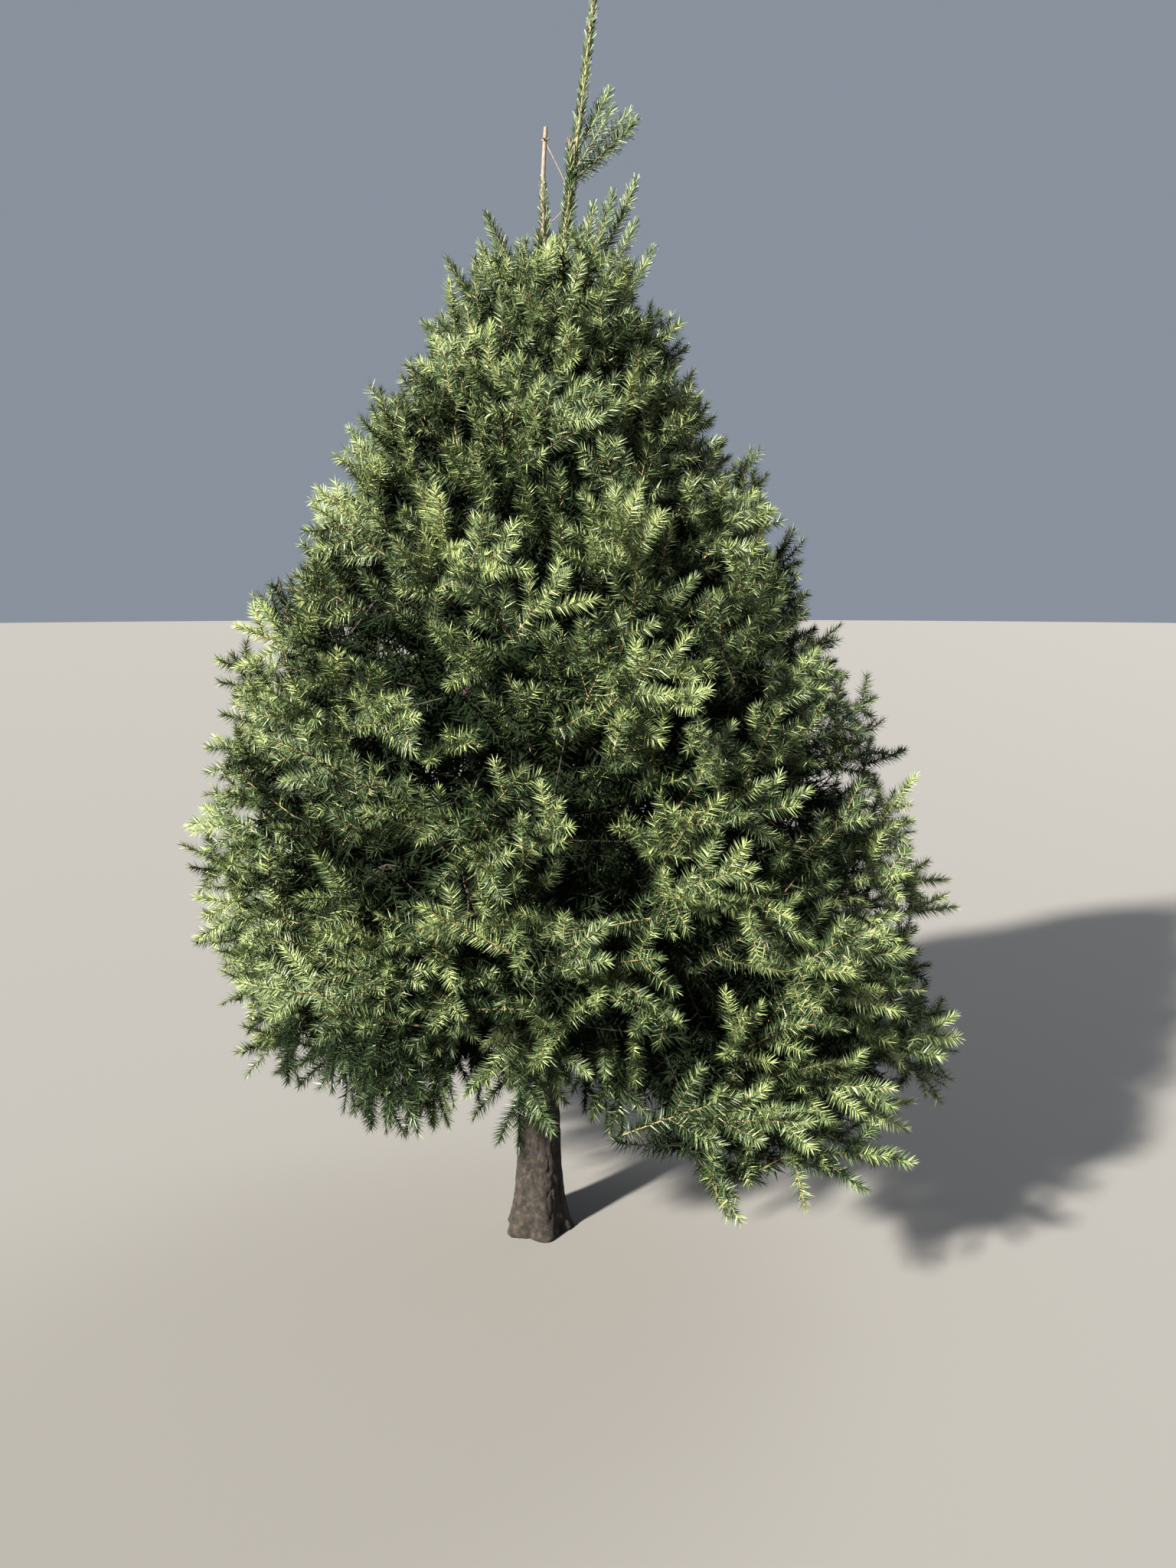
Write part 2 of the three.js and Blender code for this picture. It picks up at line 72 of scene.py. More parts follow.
# The trunk's mesh, which is fine up to where foliage hides it
TRUNK_SIDES = 104
BARE_HEIGHT = 0.72
BARK_STEP = 0.0065
HIDDEN_RINGS = 30

# The bark's relief: plates that sway, furrows between them and flakes on them. Lengths are along the wood.
TRUNK_PLATES = 26
TRUNK_FLAKES = 90
PLATE_LENGTH = 0.045
FLAKE_LENGTH = 0.011
SWAY_LENGTH = 0.11
SWAY_CELLS = 7
SWAY = 0.05
FURROW_DEPTH = 0.0046
FURROW_SHARPNESS = 2.4
FLAKE_DEPTH = 0.0022
RELIEF_INSET = 0.0042

# The crown's outline, as in the solids
CROWN_BOTTOM = 0.34
CROWN_PEAK = 2.49
CROWN_RADIUS = 0.850
CROWN_FULLEST = 0.84  # how far down from the peak it is fullest
CROWN_LOPSIDED = 0.42  # how much fuller it is on the right below, and on the left above
CROWN_EVEN = 0.6  # how far down both sides are alike
LEAST_DOWN = 0.02
CONE_WAVE = 0.07
FRONT = -math.pi / 2
SKIRT_OPENING_MIDDLE = -1.92  # the azimuth of the gap in the skirt that shows the trunk
SKIRT_OPENING = 1.5  # and its width, in radians
OUTLINE_TRIES = 12


@dataclass
class Whorl:
    """One ring of masses, between the cone at its own floor and the next whorl's."""

    name: str
    masses: int
    floor: float  # the height of its cone at the trunk
    rise: float  # how steeply the cone goes up outwards
    lobes: int  # of the cone's wave
    seam: float = 0.0  # where its first mass starts, from the front and in masses
    climb: float = 0.0  # the angle at which its shoots rise
    droop: float = 0.0  # how much less its lowest shoots rise
    bough: float = 0.0  # a bough's radius at the trunk, or 0 where the stems start there
    stem: float = 0.0  # the radius at the trunk of a stem that starts there
    sprays: int = 0  # in each mass, at the crown's edge
    inner: int = 0  # single shoots in each mass, inside the crown
    top_lift: float = 0.97  # how far up its space the highest sprays end


WHORLS = [
    Whorl("skirt", 5, 0.470, -0.15, 3, climb=0.15, droop=0.5, bough=0.015, sprays=26, inner=460),
    Whorl("lower", 6, 0.765, -0.1, 5, seam=0.4, climb=0.35, droop=0.2, bough=0.014, sprays=26, inner=340),
    Whorl("middle", 6, 1.100, -0.05, 4, seam=0.6, climb=0.5, bough=0.012, sprays=24, inner=300),
    Whorl("upper", 5, 1.260, 0.35, 5, seam=0.35, climb=0.75, bough=0.010, sprays=24, inner=220),
    Whorl("shoulder", 4, 1.510, 0.62, 3, seam=0.6, climb=0.95, stem=0.008, sprays=23, inner=150),
    Whorl("top", 3, 1.790, 0.95, 4, seam=0.45, climb=1.1, stem=0.007, sprays=17, inner=60, top_lift=0.72),
]
CROWN_CEILING = Whorl("ceiling", 0, 2.150, 1.4, 3)
# The levels of the shoots that no whorl's own piece holds
LEADERS, INSIDE_LOW, INSIDE_HIGH, HANGING = range(len(WHORLS), len(WHORLS) + 4)
LOW_WHORLS = 2  # whose inner shoots are in the lower of the two inside pieces

# Boughs. Reaches are shares of the crown's radius and lifts are shares of the space's height.
BOUGH_SHARE = 0.3
BOUGH_ROOT_LIFT = 0.42
BOUGH_TIP_LIFT = 0.47
BOUGH_END_SHARE = 0.62  # its radius at its tip, against its radius at its root
BOUGH_SAG = 0.08
BOUGH_RELIEF = 0.4  # of the trunk's
BOUGH_PLATES = 7
BOUGH_FLAKES = 20
BOUGH_RINGS = 20
BOUGH_SIDES = 14
COLLAR = 0.3
COLLAR_LENGTH = 0.12

# Stems and limbs
MIDDLE_LIFT = 0.5
STEM_REACH = 0.7
STEM_BEND = 0.4
STEM_END_RADIUS = 0.0035
LIMBS = 9  # on each stem
LIMB_REACH = 0.66
LIMB_REACHES = (0.88, 1.12)
LIMB_START = 0.75  # how far along the stem the middle ones leave it
LIMB_START_SIDES = 0.6  # how much sooner those for the sides do
LIMB_START_STRAY = 0.12
LIMB_STARTS = (0.02, 0.95)
LIMB_BEND = 0.25
LIMB_SAG = 0.06
LIMB_RADIUS = 0.0042
LIMB_END_RADIUS = 0.0022

# The twigs of sprays
TWIG_RADIUS = 0.0018
TWIG_BEND = 0.4
TWIG_PLACES = 16  # on each limb, from which one may start
HAIRPIN_COST = 1.5  # how much farther a twig comes from, to spare it a sharp turn
SHARP_TURN = 0.7  # the cosine of the sharpest turn that costs nothing

# Sprays, by the fronds' rule in the solids
TURN_SPREAD = 0.94
TURN_STRAY = 0.05
LOWEST_LIFT = 0.04
GOLDEN_SHARE = 0.618
GOLDEN_ANGLE = 2.39996
REACH_RANGE = (0.84, 1.0)
SPRAY_LENGTH = 0.24
SPRAY_LENGTHS = (0.8, 1.15)
SPRAY_SHORTENING = 0.35  # at the crown's peak
SPRAY_FAN = 0.85
FAN_SPREAD = 0.5
CLIMB_RANGE = (-0.45, 0.5)
FACE_RISE = 0.6
FACE_STRAY = 0.5
SPRAY_BOW = (-0.06, 0.06)
SPRAY_SAG = (-0.01, 0.06)

# How the outline differs from the solids' rule. Amounts are shares of the crown's radius.
FULLER_RIGHT = 0.06  # how much farther the sprays on the right reach
FULLER_FROM = 0.4  # the height from which they do
SLIMMER_LEFT = 0.04  # how much less far those low on the left reach
SLIMMER_BELOW = 1.0
OUTLINE_EASING = 0.4  # the height over which each comes in
# Where the outline on the left swells or draws in: its height, how far up and down that goes, and by how much
LEFT_SWELLINGS = ((1.10, 0.15, 0.08), (1.85, 0.10, -0.10))

# How far a shoot may pass the solids' box, its needles apart
PAST_BOX = 0.027

# Single shoots inside the crown
INNER_LENGTH = 0.15
INNER_REACH_RANGE = (0.12, 0.85)
INNER_TOP = 1.05  # how high they go, against the sprays
INNER_OUTWARDS = 0.4
INNER_RISE = 0.12
INNER_STRAY = 0.6
INNER_BOW = 0.015
INNER_CLEARANCE = 0.03
INNER_FACE_RISE = 0.5
INNER_FACE_STRAY = 0.3
INNER_PLACES = 12  # on each limb and stem, from which one may start

# Sprays that hang under the crown: how many, how far from the trunk, and how long
HANGING_SPRAYS = 112
DEAD_SPRAYS = 1
HANGING_REACH = (0.09, 0.60)
HANGING_LENGTH = (0.14, 0.28)
ELSEWHERE = 4  # one in so many hangs anywhere round the trunk
OPENING_SPREAD = 1.3  # how wide the others spread, against the opening
HANGING_START = (-0.03, 0.05)  # above the lower whorl's underside
HANGING_SLANT = (0.0, 0.4)
HANGING_BEND_OUT = 0.2
HANGING_BEND_DOWN = 0.4
HANGING_FACE_STRAY = 0.4
HANGING_THINNING = 1.4
HANGING_TWIG_DROP = 0.02
HANGING_TWIG_BEND = (0.8, 0.8, 1)
HANGING_TWIG_RISE = 0.07
HANGING_TWIG_RADII = (0.0026, 0.0014)
PAINTED_LIGHT_BEYOND = 0.38  # those that hang farther out than this get the lighter tints, painted light
# Those on the left of this keep the dark tints as well, painted shade
SHADE_LEFT_OF = -0.20
# The lighter tints are painted light and the darker ones painted shade
LIT_TINTS = (2, 5)
UNLIT_TINTS = (0, 2)
HANGING_LIGHT_SHIFT = 0.7  # how much its needles' tints differ, against those of other sprays

# The lowest that sprays may end: over the skirt's opening, higher away from the trunk, and elsewhere
OPENING_FLOOR = 0.54
OPENING_FLOOR_RISE = 0.24
LEFT_FLOOR = 0.47
RIGHT_FLOOR = 0.36
SIDE_SHOOT_DROP = 0.03  # how much lower its side shoots may end

# The side shoots of a spray: where each pair stands on its axis, its length against the spray's, and the
# chance that each of the two is there
SIDE_SHOOTS = ((0.16, 0.46, 0.6), (0.44, 0.46, 0.95), (0.70, 0.32, 0.6))
SIDE_PLACE_STRAY = 0.07
SIDE_SPIN = 0.55
SIDE_ANGLES = (0.7, 1.05)
SIDE_LENGTHS = (0.75, 1.15)
SIDE_FORWARD = 0.16
SIDE_FACE_STRAY = 0.35
SIDE_TINTS = (-1, 0, 0, 1)  # against the spray's own

# Needles
NEEDLE_LENGTH = 0.027
NEEDLE_WIDTH = 0.0027
NEEDLE_SPACING = 0.00071
TWIG_NEEDLE_SPACING = 0.0028
INNER_NEEDLE_LENGTH = 0.039
INNER_NEEDLE_WIDTH = 0.0056
INNER_NEEDLE_SPACING = 0.0043
NEEDLE_LENGTHS = (0.85, 1.1)
NEEDLE_WIDTHS = (0.85, 1.15)
NEEDLE_END = 0.65  # its width at its blunt tip, against its width at its root
NEEDLE_TWIST = 0.35
BLADE_STRAY = 0.4
FEWEST_NEEDLES = 3
TURN_ROUND_STRAY = 0.2
RISE_ABOVE = 0.8
RISE_BELOW = 0.45
# How far needles lean out from their shoot at shares of its length, and how long they are there
LEAN_PLACES = (0, 0.15, 0.75, 0.93, 1)
LEANS = (1.3, 1.2, 1.05, 0.75, 0.35)
LEAN_STRAY = 0.09
SIZE_PLACES = (0, 0.12, 0.8, 1)
SIZES = (0.75, 1, 0.95, 0.7)

# Buds
BUD_LENGTH = 0.0055
BUD_RADIUS = 0.0014
BUD_SIZES = (0.75, 1.15)
BUD_SINK = 0.001
BUD_WIDEST = 0.35  # how far up it is widest

# Each tint of needle is one plain base colour, from the darkest inside the crown to the lightest at its edge.
# They are lit and shaded copies of one green: the dark ones are painted shade and the light ones painted
# light, and partly they are also older and newer needles. The dead tint is the needles' own colour.
TINTS = {
    "needles_shaded": (0.006, 0.011, 0.0045),
    "needles_deep": (0.0125, 0.022, 0.009),
    "needles_old_and_shaded": (0.0265, 0.045, 0.0175),
    "needles_mid": (0.051, 0.081, 0.030),
    "needles_grey": (0.094, 0.132, 0.055),
    "needles_fresh_and_lit": (0.158, 0.210, 0.079),
    "needles_bright": (0.257, 0.318, 0.124),
    "needles_dead": (0.095, 0.048, 0.021),
}
TINT_NAMES = list(TINTS)
DEAD = TINT_NAMES.index("needles_dead")
DULL_TINTS = 2  # the first ones, which have hardly any gloss
SPRAY_TINT = 2.3  # of a spray that ends at DEPTH_FROM
EDGE_FRESHNESS_AND_LIGHT = 2.7  # how many tints lighter one is at the crown's edge, and darker deeper inside: partly fresher needles, partly painted light and painted shade
DEPTH_FROM = 0.8
DEPTH_SPAN = 0.2
LOW_DEPTH = 0.1  # how much deeper inside the lowest sprays count as, which gives them darker tints as painted shade under the whorl
SPRAY_VARIETY = 0.5
OLD_TWIG = -2  # the tint of a twig's needles, against its spray's
TIP_FRESH_AND_LIT = 2.1  # how many tints a shoot's tip is lighter than its foot: partly fresher needles, partly painted light at the tip and painted shade at the foot
TIP_LIGHT_FROM = 0.7  # where along the shoot its own tint is
NEEDLE_VARIETY = 1.55  # how many tints two needles side by side differ

# The kinds of bare wood, in the order of its piece's material slots
WOOD_KINDS = ("twig_bark", "young_bark", "bare_wood", "leader_bark")
TWIG_BARK, YOUNG_BARK, BARE_WOOD, LEADER_BARK = range(len(WOOD_KINDS))
SHOOT_END = 0.6  # a shoot's thickness at its tip, against its foot's

# The look of each wood: the colours of its noise from low to high, the fineness of that and of its bump
WOODS = {
    # The bark's own dark grey-brown, made darker still as painted shade of the crown over the trunk
    "bark": dict(
        stops=[(0.36, (0.005, 0.003, 0.002)), (0.5, (0.015, 0.011, 0.008)), (0.64, (0.040, 0.030, 0.021))],
        scale=60, bump_scale=230, bump_depth=0.012, roughness=0.92,
    ),
    # Twig bark is partly its own grey-brown and partly darker, as painted shade inside the crown
    "twig_bark": dict(
        stops=[(0.3, (0.018, 0.013, 0.009)), (0.7, (0.048, 0.035, 0.024))],
        scale=60, bump_scale=300, bump_depth=0.001, roughness=0.85,
    ),
    "young_bark": dict(
        stops=[(0.3, (0.20, 0.135, 0.06)), (0.7, (0.31, 0.22, 0.105))],
        scale=50, bump_scale=300, bump_depth=0.0006, roughness=0.7,
    ),
    "leader_bark": dict(
        stops=[(0.3, (0.15, 0.135, 0.065)), (0.7, (0.25, 0.225, 0.115))],
        scale=70, bump_scale=320, bump_depth=0.0008, roughness=0.7,
    ),
    "bare_wood": dict(
        stops=[(0.3, (0.085, 0.064, 0.047)), (0.7, (0.23, 0.185, 0.140))],
        scale=90, bump_scale=400, bump_depth=0.0008, roughness=0.8,
    ),
    "bud_scales": dict(
        stops=[(0.3, (0.15, 0.070, 0.03)), (0.7, (0.27, 0.145, 0.07))],
        scale=220, bump_scale=500, bump_depth=0.0004, roughness=0.55,
    ),
}

# The camera, whose focal length is in pixels of the photograph
PHOTO_HEIGHT = 2048
FOCAL_LENGTH = 1656
SENSOR = 36
CAMERA_PLACE = (0.1217, -2.9, 1.54)
CAMERA_TILT = 8.79  # degrees down

# The studio
FLOOR_COLOUR = (0.155, 0.152, 0.146, 1)
FLOOR_RADIUS = 60
FLOOR_PLACE = (0, 0, -0.001)
SKY_COLOUR = (0.74, 0.84, 1.0, 1)
SKY_STRENGTH = 0.34
KEY_WAY = (0.60, 0.64, -0.47)
FILL_WAY = (-0.55, -0.6, -0.6)

UP = np.array([0.0, 0.0, 1.0])
STEEP = 0.8  # how far a tube rises, against its length, from which +X and not +Z sets its sides


def unit(vectors):
    return vectors / np.maximum(np.linalg.norm(vectors, axis=-1, keepdims=True), 1e-12)


def mix(low, high, share):
    return low + (high - low) * share


class Curves:
    """Quadratic curves, one for each row of root, bend and tip"""

    def __init__(self, root, bend, tip):
        self.root, self.bend, self.tip = (np.atleast_2d(points) for points in (root, bend, tip))

    def at(self, share):
        s = np.asarray(share, float)[..., None]
        return (1 - s) ** 2 * self.root + 2 * s * (1 - s) * self.bend + s**2 * self.tip

    def way(self, share):
        s = np.asarray(share, float)[..., None]
        return unit((1 - s) * (self.bend - self.root) + s * (self.tip - self.bend))

    def length(self):
        return np.linalg.norm(self.bend - self.root, axis=1) + np.linalg.norm(self.tip - self.bend, axis=1)

    def rings(self, count):
        """(curves, count, 3) points, evenly spaced"""
        s = np.linspace(0, 1, count)[None, :, None]
        root, bend, tip = self.root[:, None], self.bend[:, None], self.tip[:, None]
        return (1 - s) ** 2 * root + 2 * s * (1 - s) * bend + s**2 * tip

    def pick(self, rows):
        return Curves(self.root[rows], self.bend[rows], self.tip[rows])


def trunk_middle(height):
    height = np.asarray(height, float)
    x = TRUNK_LEAN * (np.clip(height, 0, FORK_HEIGHT) / FORK_HEIGHT) ** TRUNK_SWEEP
    return np.stack([x, np.zeros_like(x), height], axis=-1)


def trunk_radius(height):
    left = np.maximum(1 - height / FORK_HEIGHT, 0)
    return FORK_RADIUS + (FOOT_RADIUS - FORK_RADIUS) * left**TRUNK_TAPER


def flare(height, angle):
    return FLARE_REACH * np.exp(-height / FLARE_HEIGHT) * (1 + FLARE_WAVE * np.cos(FLARE_LOBES * angle))


def crown_reach(height, azimuth):
    """The crown's radius at a height and an azimuth"""
    down = np.maximum((CROWN_PEAK - height) / (CROWN_PEAK - CROWN_BOTTOM), LEAST_DOWN)
    share = np.sin(math.pi / 2 * down / CROWN_FULLEST)
    return CROWN_RADIUS * share * (1 + CROWN_LOPSIDED * np.cos(azimuth) * (down - CROWN_EVEN))


def cone_height(cone, radius, azimuth):
    # The solids count the wave's phase in millimetres.
    wave = np.sin(cone.lobes * azimuth + cone.floor * 1000)
    return cone.floor + radius * (cone.rise + CONE_WAVE * wave)


class Space:
    """The space of one mass. A turn runs from -1 to 1 across it and a lift from 0 to 1 up it."""

    def __init__(self, whorl, ceiling, azimuth, half_angle):
        self.whorl = whorl
        self.ceiling = ceiling
        self.azimuth = azimuth
        self.half_angle = half_angle

    def place(self, radius, turn, lift):
        radius, turn, lift = np.broadcast_arrays(*(np.asarray(v, float) for v in (radius, turn, lift)))
        around = self.azimuth + turn * self.half_angle
        low = cone_height(self.whorl, radius, around)
        height = low + (cone_height(self.ceiling, radius, around) - low) * lift
        return trunk_middle(height) + radius[..., None] * self.outwards(turn)

    def outwards(self, turn):
        around = self.azimuth + np.asarray(turn, float) * self.half_angle
        return np.stack([np.cos(around), np.sin(around), np.zeros_like(around)], axis=-1)

    def reach_at(self, turn, lift):
        """The radius where the crown's outline crosses a turn and a lift"""
        turn, lift = np.broadcast_arrays(np.asarray(turn, float), np.asarray(lift, float))
        radius = np.full(turn.shape, CROWN_RADIUS / 2)
        for _ in range(OUTLINE_TRIES):
            height = self.place(radius, turn, lift)[..., 2]
            radius = (radius + crown_reach(height, self.azimuth + turn * self.half_angle)) / 2
        return radius


# What a shoot at the crown's edge and one inside the crown have in common with their own kind
OUTER = dict(
    needle=NEEDLE_LENGTH, width=NEEDLE_WIDTH, spacing=NEEDLE_SPACING, lean=1.0, bud=True, blunt=False,
)
INNER = dict(
    needle=INNER_NEEDLE_LENGTH, width=INNER_NEEDLE_WIDTH, spacing=INNER_NEEDLE_SPACING, lean=1.0, bud=False,
    blunt=False,
)


class Shoots:
    """Needled shoots, gathered batch by batch as rows of named values"""

    def __init__(self):
        self.batches = []

    def add(self, curves, **values):
        count = len(curves.root)
        batch = {"root": curves.root, "bend": curves.bend, "tip": curves.tip}
        for key, value in values.items():
            value = np.asarray(value)
            alike = value.ndim == 0 or len(value) != count
            batch[key] = np.broadcast_to(value, (count, *value.shape)) if alike else value
        self.batches.append(batch)

    def joined(self):
        return {key: np.concatenate([batch[key] for batch in self.batches]) for key in self.batches[0]}


def add_wood(wood, curves, radii, rings, sides, kind=TWIG_BARK):
    """Bare wood along the curves, which tapers from the first radius to the second"""
    wood.append((curves.rings(rings), mix(*radii, np.linspace(0, 1, rings)), sides, kind))


def spaces():
    """Every mass's level, whorl, number and space, as the solids set them out"""
    for level, whorl in enumerate(WHORLS):
        ceiling = WHORLS[level + 1] if level + 1 < len(WHORLS) else CROWN_CEILING
        opening = SKIRT_OPENING if level == 0 else 0
        sector = (2 * math.pi - opening) / whorl.masses
        start = SKIRT_OPENING_MIDDLE + opening / 2 if opening else FRONT + sector * whorl.seam
        for i in range(whorl.masses):
            yield level, whorl, i, Space(whorl, ceiling, start + sector * (i + 0.5), sector / 2)


def bough_curve(space):
    reach = space.reach_at(0, MIDDLE_LIFT)
    root = space.place(0, 0, BOUGH_ROOT_LIFT)
    tip = space.place(reach * BOUGH_SHARE, 0, BOUGH_TIP_LIFT)
    bend = (root + tip) / 2 - UP * np.linalg.norm(tip - root) * BOUGH_SAG
    return Curves(root, bend, tip)


def stem_curve(space):
    """The stem goes on from its bough's tip, or starts on the trunk."""
    reach = space.reach_at(0, MIDDLE_LIFT)
    if space.whorl.bough:
        bough = bough_curve(space)
        root, towards = bough.tip, bough.way([1.0])
    else:
        root = space.place(0, 0, BOUGH_ROOT_LIFT)
        towards = unit(space.place(reach, 0, BOUGH_ROOT_LIFT) - root)
    tip = space.place(reach * STEM_REACH, 0, MIDDLE_LIFT)
    return Curves(root, root + towards * np.linalg.norm(tip - root) * STEM_BEND, tip)


def tubes(points, radii, sides):
    """Tapering tubes along (tubes, rings, 3) points. Gives vertices and triangles."""
    count, rings = points.shape[:2]
    radii = radii if radii.ndim == 3 else radii[..., None]
    along = unit(np.gradient(points, axis=1))
    chord = unit(points[:, -1] - points[:, 0])
    helper = np.where(np.abs(chord[:, 2:]) < STEEP, UP, np.array([1.0, 0.0, 0.0]))[:, None]
    side = unit(np.cross(along, helper))
    up = np.cross(side, along)
    angle = np.arange(sides) * 2 * math.pi / sides
    spokes = np.cos(angle)[:, None] * side[:, :, None] + np.sin(angle)[:, None] * up[:, :, None]
    vertices = points[:, :, None] + np.broadcast_to(radii, (count, rings, sides))[..., None] * spokes
    ring = np.arange(count)[:, None] * rings + np.arange(rings - 1)
    here = (ring[..., None] * sides + np.arange(sides)).reshape(-1)
    beside = (ring[..., None] * sides + (np.arange(sides) + 1) % sides).reshape(-1)
    lower = np.stack([here, here + sides, beside], axis=-1)
    upper = np.stack([beside, here + sides, beside + sides], axis=-1)
    return vertices.reshape(-1, 3), np.concatenate([lower, upper])


def joined_meshes(parts):
    """Joins (vertices, triangles, material index) parts into one."""
    vertices, faces, slots, offset = [], [], [], 0
    for points, triangles, slot in parts:
        vertices.append(points)
        faces.append(triangles + offset)
        slots.append(np.broadcast_to(np.asarray(slot, np.int32), (len(triangles),)))
        offset += len(points)
    return np.concatenate(vertices), np.concatenate(faces), np.concatenate(slots)


def make_piece(name, parts, materials, nodes, smooth):
    """One joined mesh that rides on the tree and stands for the named nodes"""
    vertices, faces, slots = joined_meshes(parts)
    mesh = bpy.data.meshes.new(name)
    mesh.vertices.add(len(vertices))
    mesh.vertices.foreach_set("co", vertices.astype(np.float32).ravel())
    mesh.loops.add(faces.size)
    mesh.loops.foreach_set("vertex_index", faces.astype(np.int32).ravel())
    mesh.polygons.add(len(faces))
    mesh.polygons.foreach_set("loop_start", np.arange(0, faces.size, 3, dtype=np.int32))
    mesh.polygons.foreach_set("material_index", slots.astype(np.int32))
    mesh.polygons.foreach_set("use_smooth", np.full(len(faces), smooth))
    for material in materials:
        mesh.materials.append(material)
    mesh.update(calc_edges=True)
    mesh.validate()
    piece = bpy.data.objects.new(name, mesh)
    bpy.context.scene.collection.objects.link(piece)
    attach(piece, BODY)
    if nodes:
        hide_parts(*nodes)


def spread_places(count, top_lift, rng):
    """Turns and lifts spread evenly over the outer side of a space"""
    i = np.arange(count)
    turn = TURN_SPREAD * ((i + 0.5) / count * 2 - 1) + rng.uniform(-TURN_STRAY, TURN_STRAY, count)
    lift = LOWEST_LIFT + (top_lift - LOWEST_LIFT) * ((i * GOLDEN_SHARE + rng.random()) % 1)
    return turn, lift


def grow_limbs(space, stem, rng):
    """Limbs leave the stem, those for its sides nearer the trunk, and fan out over the space."""
    turn, lift = spread_places(LIMBS, space.whorl.top_lift, rng)
    reach = space.reach_at(turn, lift) * LIMB_REACH * rng.uniform(*LIMB_REACHES, LIMBS)
    tip = space.place(reach, turn, lift)
    stray = rng.uniform(-LIMB_START_STRAY, LIMB_START_STRAY, LIMBS)
    leave = np.clip(LIMB_START - LIMB_START_SIDES * np.abs(turn) + stray, *LIMB_STARTS)
    root = stem.at(leave)
    span = np.linalg.norm(tip - root, axis=1, keepdims=True)
    bend = root + (stem.way(leave) + unit(tip - root)) * LIMB_BEND * span - UP * LIMB_SAG * span
    return Curves(root, bend, tip).pick(tip[:, 2] > lowest_end(tip))


def past_box(points):
    """How far each point passes the solids' box and its allowance, on each axis"""
    low, high = np.array(CAD_BOX[0]) - PAST_BOX, np.array(CAD_BOX[1]) + PAST_BOX
    return np.maximum(points - high, 0) + np.minimum(points - low, 0)


def lowest_end(points):
    """The lowest that foliage may reach at each point"""
    around = np.arctan2(points[:, 1], points[:, 0])
    over_opening = OPENING_FLOOR + OPENING_FLOOR_RISE * np.hypot(points[:, 0], points[:, 1])
    elsewhere = mix(LEFT_FLOOR, RIGHT_FLOOR, (1 + np.cos(around)) / 2)
    return np.where(np.abs(around - SKIRT_OPENING_MIDDLE) < SKIRT_OPENING / 2, over_opening, elsewhere)


def outline_change(outwards, height):
    """How much farther, and how much less far, than the solids' rule sprays reach"""
    rightness = np.maximum(outwards[:, 0], 0)
    leftness = np.maximum(-outwards[:, 0], 0)
    fuller = FULLER_RIGHT * rightness * np.clip((height - FULLER_FROM) / OUTLINE_EASING, 0, 1)
    slimmer = SLIMMER_LEFT * leftness * np.clip((SLIMMER_BELOW - height) / OUTLINE_EASING, 0, 1)
    for middle, spread, amount in LEFT_SWELLINGS:
        fuller += amount * leftness * np.exp(-(((height - middle) / spread) ** 2))
    return fuller, slimmer


def spray_axes(space, rng):
    """The axes of a mass's sprays, their faces, and how near each comes to the crown's edge, which is 1"""
    whorl = space.whorl
    count = whorl.sprays
    turn, lift = spread_places(count, whorl.top_lift, rng)
    share = rng.uniform(*REACH_RANGE, count)
    reach = space.reach_at(turn, lift)
    outwards = space.outwards(turn)
    fuller, slimmer = outline_change(outwards, space.place(reach, turn, lift)[:, 2])
    tip = space.place(reach * share * (1 + fuller - slimmer), turn, lift)
    tip -= past_box(tip)
    hand = np.arange(count) % 3 - 1
    fan = (SPRAY_FAN * (hand + rng.uniform(-FAN_SPREAD, FAN_SPREAD, count)))[:, None]
    climb = (whorl.climb + rng.uniform(*CLIMB_RANGE, count) - whorl.droop * (1 - lift))[:, None]
    turned = outwards * np.cos(fan) + np.cross(UP, outwards) * np.sin(fan)
    way = turned * np.cos(climb) + UP * np.sin(climb)
    facing = unit(outwards + UP * FACE_RISE + rng.uniform(-FACE_STRAY, FACE_STRAY, (count, 3)))
    side = unit(np.cross(facing, way))
    face = np.cross(way, side)
    shortening = 1 - SPRAY_SHORTENING * tip[:, 2] / CROWN_PEAK
    length = (SPRAY_LENGTH * shortening * rng.uniform(*SPRAY_LENGTHS, count))[:, None]
    root = tip - way * length
    bow = side * rng.uniform(*SPRAY_BOW, (count, 1)) - face * rng.uniform(*SPRAY_SAG, (count, 1))
    axes = Curves(root, (root + tip) / 2 + bow * length, tip)
    keep = tip[:, 2] > lowest_end(tip)
    # The lowest sprays count as deeper inside, so that they get darker tints as painted shade
    return axes.pick(keep), face[keep], (share * (1 - LOW_DEPTH * (1 - lift)))[keep]


def grow_twigs(axes, limbs):
    """Each spray's twig leaves the limb that is nearest without a sharp turn, and runs on into the spray."""
    heading = axes.way(np.zeros(len(axes.root)))
    growing = limbs.rings(TWIG_PLACES).reshape(-1, 3)
    behind = axes.root[:, None] - growing[None]
    gap = np.linalg.norm(behind, axis=2)
    straight = (behind * heading[:, None]).sum(axis=2)
    root = growing[(gap + HAIRPIN_COST * np.maximum(SHARP_TURN * gap - straight, 0)).argmin(axis=1)]
    gap = np.linalg.norm(axes.root - root, axis=1, keepdims=True)
    return Curves(root, axes.root - heading * gap * TWIG_BEND, axes.root)


